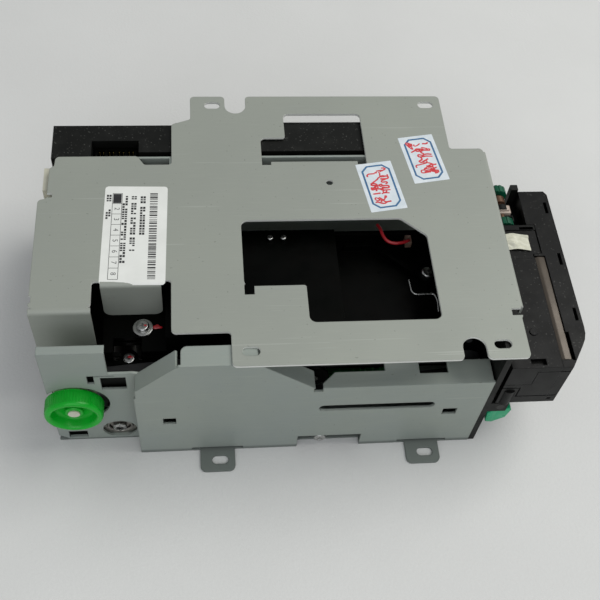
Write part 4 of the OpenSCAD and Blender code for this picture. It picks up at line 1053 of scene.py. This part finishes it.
@dataclass
class Mouth:
    """The card mouth at the front: lever, taped plug, blocks by the gate and strip."""

    body: str = "frame"

    def lever(self) -> None:
        """Rounds a merged copy of the release lever into a moulded grip."""
        grip = merged_copy("release_lever", "release_lever_grip")
        bevel_modifier(grip, 1.1, 4, 30)
        finish(grip, "lever", Stock.teal, 50)
        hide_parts("release_lever")

    def plug(self) -> None:
        """The small connector under a crumpled flag of white tape."""
        low, high = corners("taped_plug")
        flag = start(bpy.ops.mesh.primitive_grid_add, "tape_flag", x_subdivisions=34, y_subdivisions=26,
                     size=MM, location=(0, 0, 0))
        rng = random.Random(7)
        folds = [(rng.uniform(0, math.pi), rng.uniform(1.0, 3.2), rng.uniform(0, math.tau)) for _ in range(6)]
        length, depth = high.x - low.x, high.y - low.y
        for vertex in flag.data.vertices:
            u, v = vertex.co.x / MM + 0.5, vertex.co.y / MM + 0.5
            x = low.x + u * length
            # the free end is torn to a point and stepped
            far = depth * (0.97 - 0.34 * max(0.0, u - 0.55) ** 1.2)
            near = depth * (0.02 + 0.1 * math.sin(3 * u))
            y = low.y + near + v * (far - near)
            lift = sum(math.sin(u * f * 6 * math.cos(a) + v * f * 6 * math.sin(a) + p) for a, f, p in folds) / 3
            body = math.exp(-(((u - 0.3) / 0.28) ** 4)) * math.exp(-(((v - 0.5) / 0.42) ** 4))
            z = low.z + 0.5 + 1.3 * body + 0.8 * abs(lift) + 0.25 * lift
            vertex.co = Vector((x, y, z)) * MM
        solo(flag)
        modifier = flag.modifiers.new("thick", "SOLIDIFY")
        modifier.thickness = 0.3 * MM
        modifier.offset = 0
        bpy.ops.object.modifier_apply(modifier=modifier.name)
        modifier = flag.modifiers.new("soft", "SUBSURF")
        modifier.levels = modifier.render_levels = 1
        bpy.ops.object.modifier_apply(modifier=modifier.name)
        finish(flag, self.body, Stock.tape, 180)
        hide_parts("taped_plug")
        case = block("plug_case", (low.x - 4.5, low.y + 2.2, low.z), (low.x + 2.2, high.y - 1.8, low.z + 1.9))
        pick_faces(case, lambda c, n: n.z > 0.9)
        bpy.ops.mesh.inset(thickness=0.5 * MM)
        extrude((0, 0, 0.5))
        to_object_mode()
        bevel_modifier(case, 0.25, 2)
        finish(case, self.body, Stock.natural, 30)

    def strip(self) -> None:
        """A thin bent strip: a steep lip, a round crest and a flat."""
        low, high = corners("bezel_strip")
        sheet = block("bent_strip", (low.x, low.y, high.z - 0.55), (high.x, high.y, high.z - 0.05))
        for x in (low.x + 1.7, low.x + 2.3):
            solo(sheet)
            bpy.ops.object.mode_set(mode="EDIT")
            bpy.ops.mesh.select_all(action="SELECT")
            bpy.ops.mesh.bisect(plane_co=(x * MM, 0, 0), plane_no=(1, 0, 0))
            to_object_mode()
        for vertex in sheet.data.vertices:
            if vertex.co.x / MM < low.x + 0.1:
                vertex.co.z -= 0.65 * MM
            elif vertex.co.x / MM > high.x - 0.1:
                vertex.co.z -= 0.25 * MM
        solo(sheet)
        modifier = sheet.modifiers.new("round", "BEVEL")
        modifier.width = 0.5 * MM
        modifier.segments = 4
        modifier.limit_method = "ANGLE"
        modifier.angle_limit = math.radians(4)
        bpy.ops.object.modifier_apply(modifier=modifier.name)
        finish(sheet, self.body, Stock.bronze, 40)
        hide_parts("bezel_strip")

    def gate_blocks(self) -> None:
        """The beige guide and the dark sensor that sit between the gate wheels."""
        low, high = corners("gate_arm")
        shaft_low, shaft_high = corners("gate_shaft")
        x, z = shaft_high.x - 3.2, shaft_high.z
        arm_y = low.y
        beige = block("gate_bush_block", (x - 3.6, arm_y - 1.2, z - 9.5), (x + 4.6, arm_y + 3.8, z - 1.2))
        pick_faces(beige, lambda c, n: n.z > 0.9)
        bpy.ops.mesh.inset(thickness=0.9 * MM)
        extrude((0, 0, 1.3))
        to_object_mode()
        bevel_modifier(beige, 0.45, 3)
        finish(beige, self.body, Stock.beige, 35)
        dark = block("gate_sensor", (x - 3.4, arm_y - 5.6, z - 9.5), (x + 5.4, arm_y - 2.2, z - 1.9))
        pick_faces(dark, lambda c, n: n.z > 0.9)
        bpy.ops.mesh.inset(thickness=0.7 * MM)
        extrude((0, 0, -1.2))
        to_object_mode()
        bevel_modifier(dark, 0.3, 2)
        finish(dark, self.body, Stock.cover, 35)

    def build(self) -> None:
        """Dresses and details the front end."""
        paint(Stock.mouth, "mouth_lower", "mouth_upper", "bezel", "latch_hook")
        paint(Stock.cover, "front_frame", "gate_arm")
        paint(Stock.black_pin, "lever_pin")
        paint(Stock.wheel, "gate_wheels")
        paint(Stock.collar, "gate_shaft")
        self.strip()
        self.lever()
        self.plug()
        self.gate_blocks()


@dataclass
class CardPath:
    """The black chassis, its rollers and what shows through the large cut-out."""

    body: str = "frame"

    def build(self) -> None:
        """Dresses the chassis and adds the spring, clip, rivets and wire."""
        paint(Stock.inner, "lower_guide", "upper_guide", "guide_cover", "card_sensors")
        for k in (1, 2, 3):
            paint(Stock.rubber, f"feed_rollers_{k}", f"pinch_roller_{k}")
            paint(Stock.shafting, f"feed_shaft_{k}")
            paint(Stock.inner, f"feed_pulley_{k}")
        paint(Stock.plated, "magnetic_head", "shutter", "plunger", "motor_shaft")
        paint(Stock.natural, "chip_contact_block", "knob_shaft", "knob_pulley", "rear_plug")
        paint(Stock.rubber, "drive_belt")
        paint(Stock.motor, "drive_motor", "motor_pulley")
        paint(Stock.brass, "solenoid")
        self.window_pieces()
        self.coil()

    def window_pieces(self) -> None:
        """The bent spring wire, the red lead with its clip, and two rivets."""
        cover_low, cover_high = corners("guide_cover")
        guide_low, guide_high = corners("upper_guide")
        floor_z = guide_high.z - 10.1
        spring = wire("guide_spring", [
            (49.9, -15.6, floor_z + 0.6), (50.1, -19.5, floor_z + 0.6), (50.5, -22.6, floor_z + 0.6),
            (51.6, -23.8, floor_z + 0.6), (53.6, -24.1, floor_z + 0.6), (58.0, -24.0, floor_z + 0.6),
            (60.6, -24.2, floor_z + 0.6), (61.6, -25.6, floor_z + 0.6), (61.8, -34.6, floor_z + 0.6)], 1.1)
        finish(spring, self.body, Stock.plated, 60)
        wall_y = guide_high.y - 2.0
        top = guide_high.z + 1.0
        lead = wire("red_lead", [
            (36.0, wall_y + 4.6, top + 0.4), (36.9, wall_y + 1.4, top + 1.2), (37.9, wall_y - 2.6, top + 0.9),
            (39.6, wall_y - 5.4, top + 0.5), (42.6, wall_y - 6.6, top + 0.1), (46.2, wall_y - 6.2, top - 0.3),
            (49.2, wall_y - 5.0, top - 0.9), (51.0, wall_y - 3.4, top - 2.2)], 1.6)
        finish(lead, self.body, Stock.wire, 60)
        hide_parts("wire_arc")
        clip = block("lead_clip", (49.4, wall_y - 4.6, top - 6.6), (52.6, wall_y + 0.2, top - 2.4))
        pick_faces(clip, lambda c, n: n.z > 0.9)
        bpy.ops.mesh.inset(thickness=0.8 * MM)
        extrude((0, 0, -1.0))
        to_object_mode()
        bevel_modifier(clip, 0.35, 3)
        finish(clip, self.body, Stock.brown, 35)
        for k, x in enumerate((-17.35, -10.95)):
            rivet = rod(f"cover_rivet_{k + 1}", (x, 2.1, cover_high.z + 0.35), 1.45, 0.9, Axis.Z, 28)
            pick_faces(rivet, lambda c, n: n.z > 0.9)
            bpy.ops.mesh.bevel(offset=0.55 * MM, segments=4, affect="EDGES")
            to_object_mode()
            finish(rivet, self.body, Stock.plated, 50)

    def coil(self) -> None:
        """Enamelled wire in close turns round the solenoid's bobbin."""
        low, high = corners("solenoid")
        x, y = high.x - 7.0, (low.y + high.y) / 2
        turn = start(bpy.ops.mesh.primitive_torus_add, "turn", major_radius=6.75 * MM, minor_radius=0.34 * MM,
                     major_segments=40, minor_segments=8, location=(x * MM, y * MM, (low.z + 3.2) * MM))
        turns = [turn] + [twin(turn, f"turn_{k}", (0, 0, 0.62 * k)) for k in range(1, 24)]
        winding = join("solenoid_winding", turns)
        finish(winding, self.body, Stock.copper, 60, fix_normals=False)


@dataclass
class Electronics:
    """The boards, the housing at the far side and the plugs."""

    body: str = "frame"
    pin: float = 0.64
    pin_len: float = 6.0
    socket_pitch: float = 4.8
    pin_gap_x: float = 1.9
    pin_gap_y: float = 3.0
    louvre_len: float = 62.0
    louvre_out: float = 0.9
    louvre_step: float = 5.0

    def housing_lid(self) -> None:
        """Raises louvres on the far face of the housing and screws the lid down."""
        low, high = corners("board_housing")
        louvre = block("louvre", (0, -0.2, 0), (self.louvre_len, self.louvre_out, 2.2))
        pick_faces(louvre, lambda c, n: n.y > 0.9)
        bpy.ops.transform.resize(value=(0.96, 1, 0.3))
        to_object_mode()
        louvres = [twin(louvre, "louvre_copy", (high.x - 81, high.y, low.z + 17 + k * self.louvre_step))
                   for k in range(8)]
        bpy.data.objects.remove(louvre)
        finish(join("lid_louvres", louvres), self.body, Stock.cover, 30)
        head = Fasteners().screw("lid_screw_master")
        head.data.transform(Matrix.Rotation(-math.pi / 2, 4, "X"))
        heads = [twin(head, "lid_screw_copy", (x, high.y - 0.05, z))
                 for x in (high.x - 94, high.x - 6) for z in (low.z + 7, high.z - 9)]
        bpy.data.objects.remove(head)
        finish(join("lid_screws", heads), self.body, Stock.plated, 30)

    def build(self) -> None:
        """Dresses the boards and the housing, and fits the pins and the lid."""
        paint(Stock.cover, "board_housing")
        paint(Stock.inner, "housing_plugs", "board_parts")
        paint(Stock.board, "main_board", "rear_board")
        paint(Stock.wire, "rear_wire")
        low, high = corners("housing_plugs")
        one = block("pin", (0, 0, 0), (self.pin, self.pin, self.pin_len))
        pick_faces(one, lambda c, n: n.z > 0.9)
        bpy.ops.transform.resize(value=(0.5, 0.5, 1))
        to_object_mode()
        pins = []
        for i in range(4):
            for j in range(2):
                for k in range(2):
                    x = low.x + 2.0 + i * self.socket_pitch + k * self.pin_gap_x
                    pins.append(twin(one, "pin_copy", (x, low.y + 2.3 + j * self.pin_gap_y, high.z - 5.4)))
        bpy.data.objects.remove(one)
        header = join("header_pins", pins)
        finish(header, self.body, Stock.brass, 30)
        self.housing_lid()


def merged_copy(node: str, name: str) -> bpy.types.Object:
    """A copy of a CAD node as one clean mesh, to be rounded."""
    source = frame["nodes"][node]
    piece = bpy.data.objects.new(name, source.data.copy())
    bpy.context.scene.collection.objects.link(piece)
    solo(piece)
    bpy.ops.object.mode_set(mode="EDIT")
    bpy.ops.mesh.select_all(action="SELECT")
    bpy.ops.mesh.remove_doubles(threshold=1e-6)
    bpy.ops.mesh.dissolve_limited(angle_limit=math.radians(3))
    to_object_mode()
    return piece


def paint(look: Finish, *nodes: str) -> None:
    """Gives CAD nodes a finish in all their material slots."""
    material = look.build()
    for node in nodes:
        piece = frame["nodes"][node]
        if not piece.material_slots:
            piece.data.materials.append(material)
        for slot in piece.material_slots:
            slot.material = material
        LOG.info("%s is finished as %s", node, look.name)


@dataclass
class Studio:
    """Floor, soft light and the camera."""

    camera_mm: Point = (-51.18, -276.14, 436.67)
    tilt_deg: Point = (33.868, -4.178, -4.438)
    lens_mm: float = 57.376
    sensor_mm: float = 36.0

    def camera(self) -> None:
        """A hand-held view from above the near side."""
        data = bpy.data.cameras.new("camera")
        data.lens = self.lens_mm
        data.sensor_width = self.sensor_mm
        data.clip_start = 0.01
        eye = bpy.data.objects.new("camera", data)
        eye.location = Vector(self.camera_mm) * MM
        eye.rotation_euler = [math.radians(angle) for angle in self.tilt_deg]
        bpy.context.scene.collection.objects.link(eye)
        bpy.context.scene.camera = eye

    def lamp(self, name: str, place: Point, size: float, power: float, color: str) -> None:
        """One soft square lamp aimed at the unit, its place in metres."""
        data = bpy.data.lights.new(name, "AREA")
        data.size = size
        data.energy = power
        data.color = linear(color)[:3]
        lamp = bpy.data.objects.new(name, data)
        lamp.location = place
        lamp.rotation_euler = (Vector((0, 0, 0.04)) - Vector(place)).to_track_quat("-Z", "Y").to_euler()
        bpy.context.scene.collection.objects.link(lamp)

    def build(self) -> None:
        """Sets the stage."""
        floor = start(bpy.ops.mesh.primitive_plane_add, "floor", size=6.0)
        floor.data.materials.append(Stock.floor.build())
        self.lamp("window", (1.0, 0.3, 1.5), 1.3, 21.5, "fdfcf8")
        self.lamp("room", (-0.1, -1.5, 1.3), 1.8, 13.5, "f7faff")
        world = bpy.data.worlds.new("soft_room")
        world.use_nodes = True
        world.node_tree.nodes["Background"].inputs["Color"].default_value = linear("e9edf0")
        world.node_tree.nodes["Background"].inputs["Strength"].default_value = 0.42
        bpy.context.scene.world = world
        bpy.context.scene.view_settings.view_transform = "Standard"
        self.camera()


def main() -> None:
    """Builds each sub-assembly in order and closes the scene."""
    logging.basicConfig(level=logging.INFO, format="%(name)s: %(message)s")
    Studio().build()
    Metalwork().dress()
    CardPath().build()
    Electronics().build()
    Mouth().build()
    HandKnob().build()
    Drive().build()
    Fasteners().build()
    Labels().build()


if __name__ == "__main__":
    main()
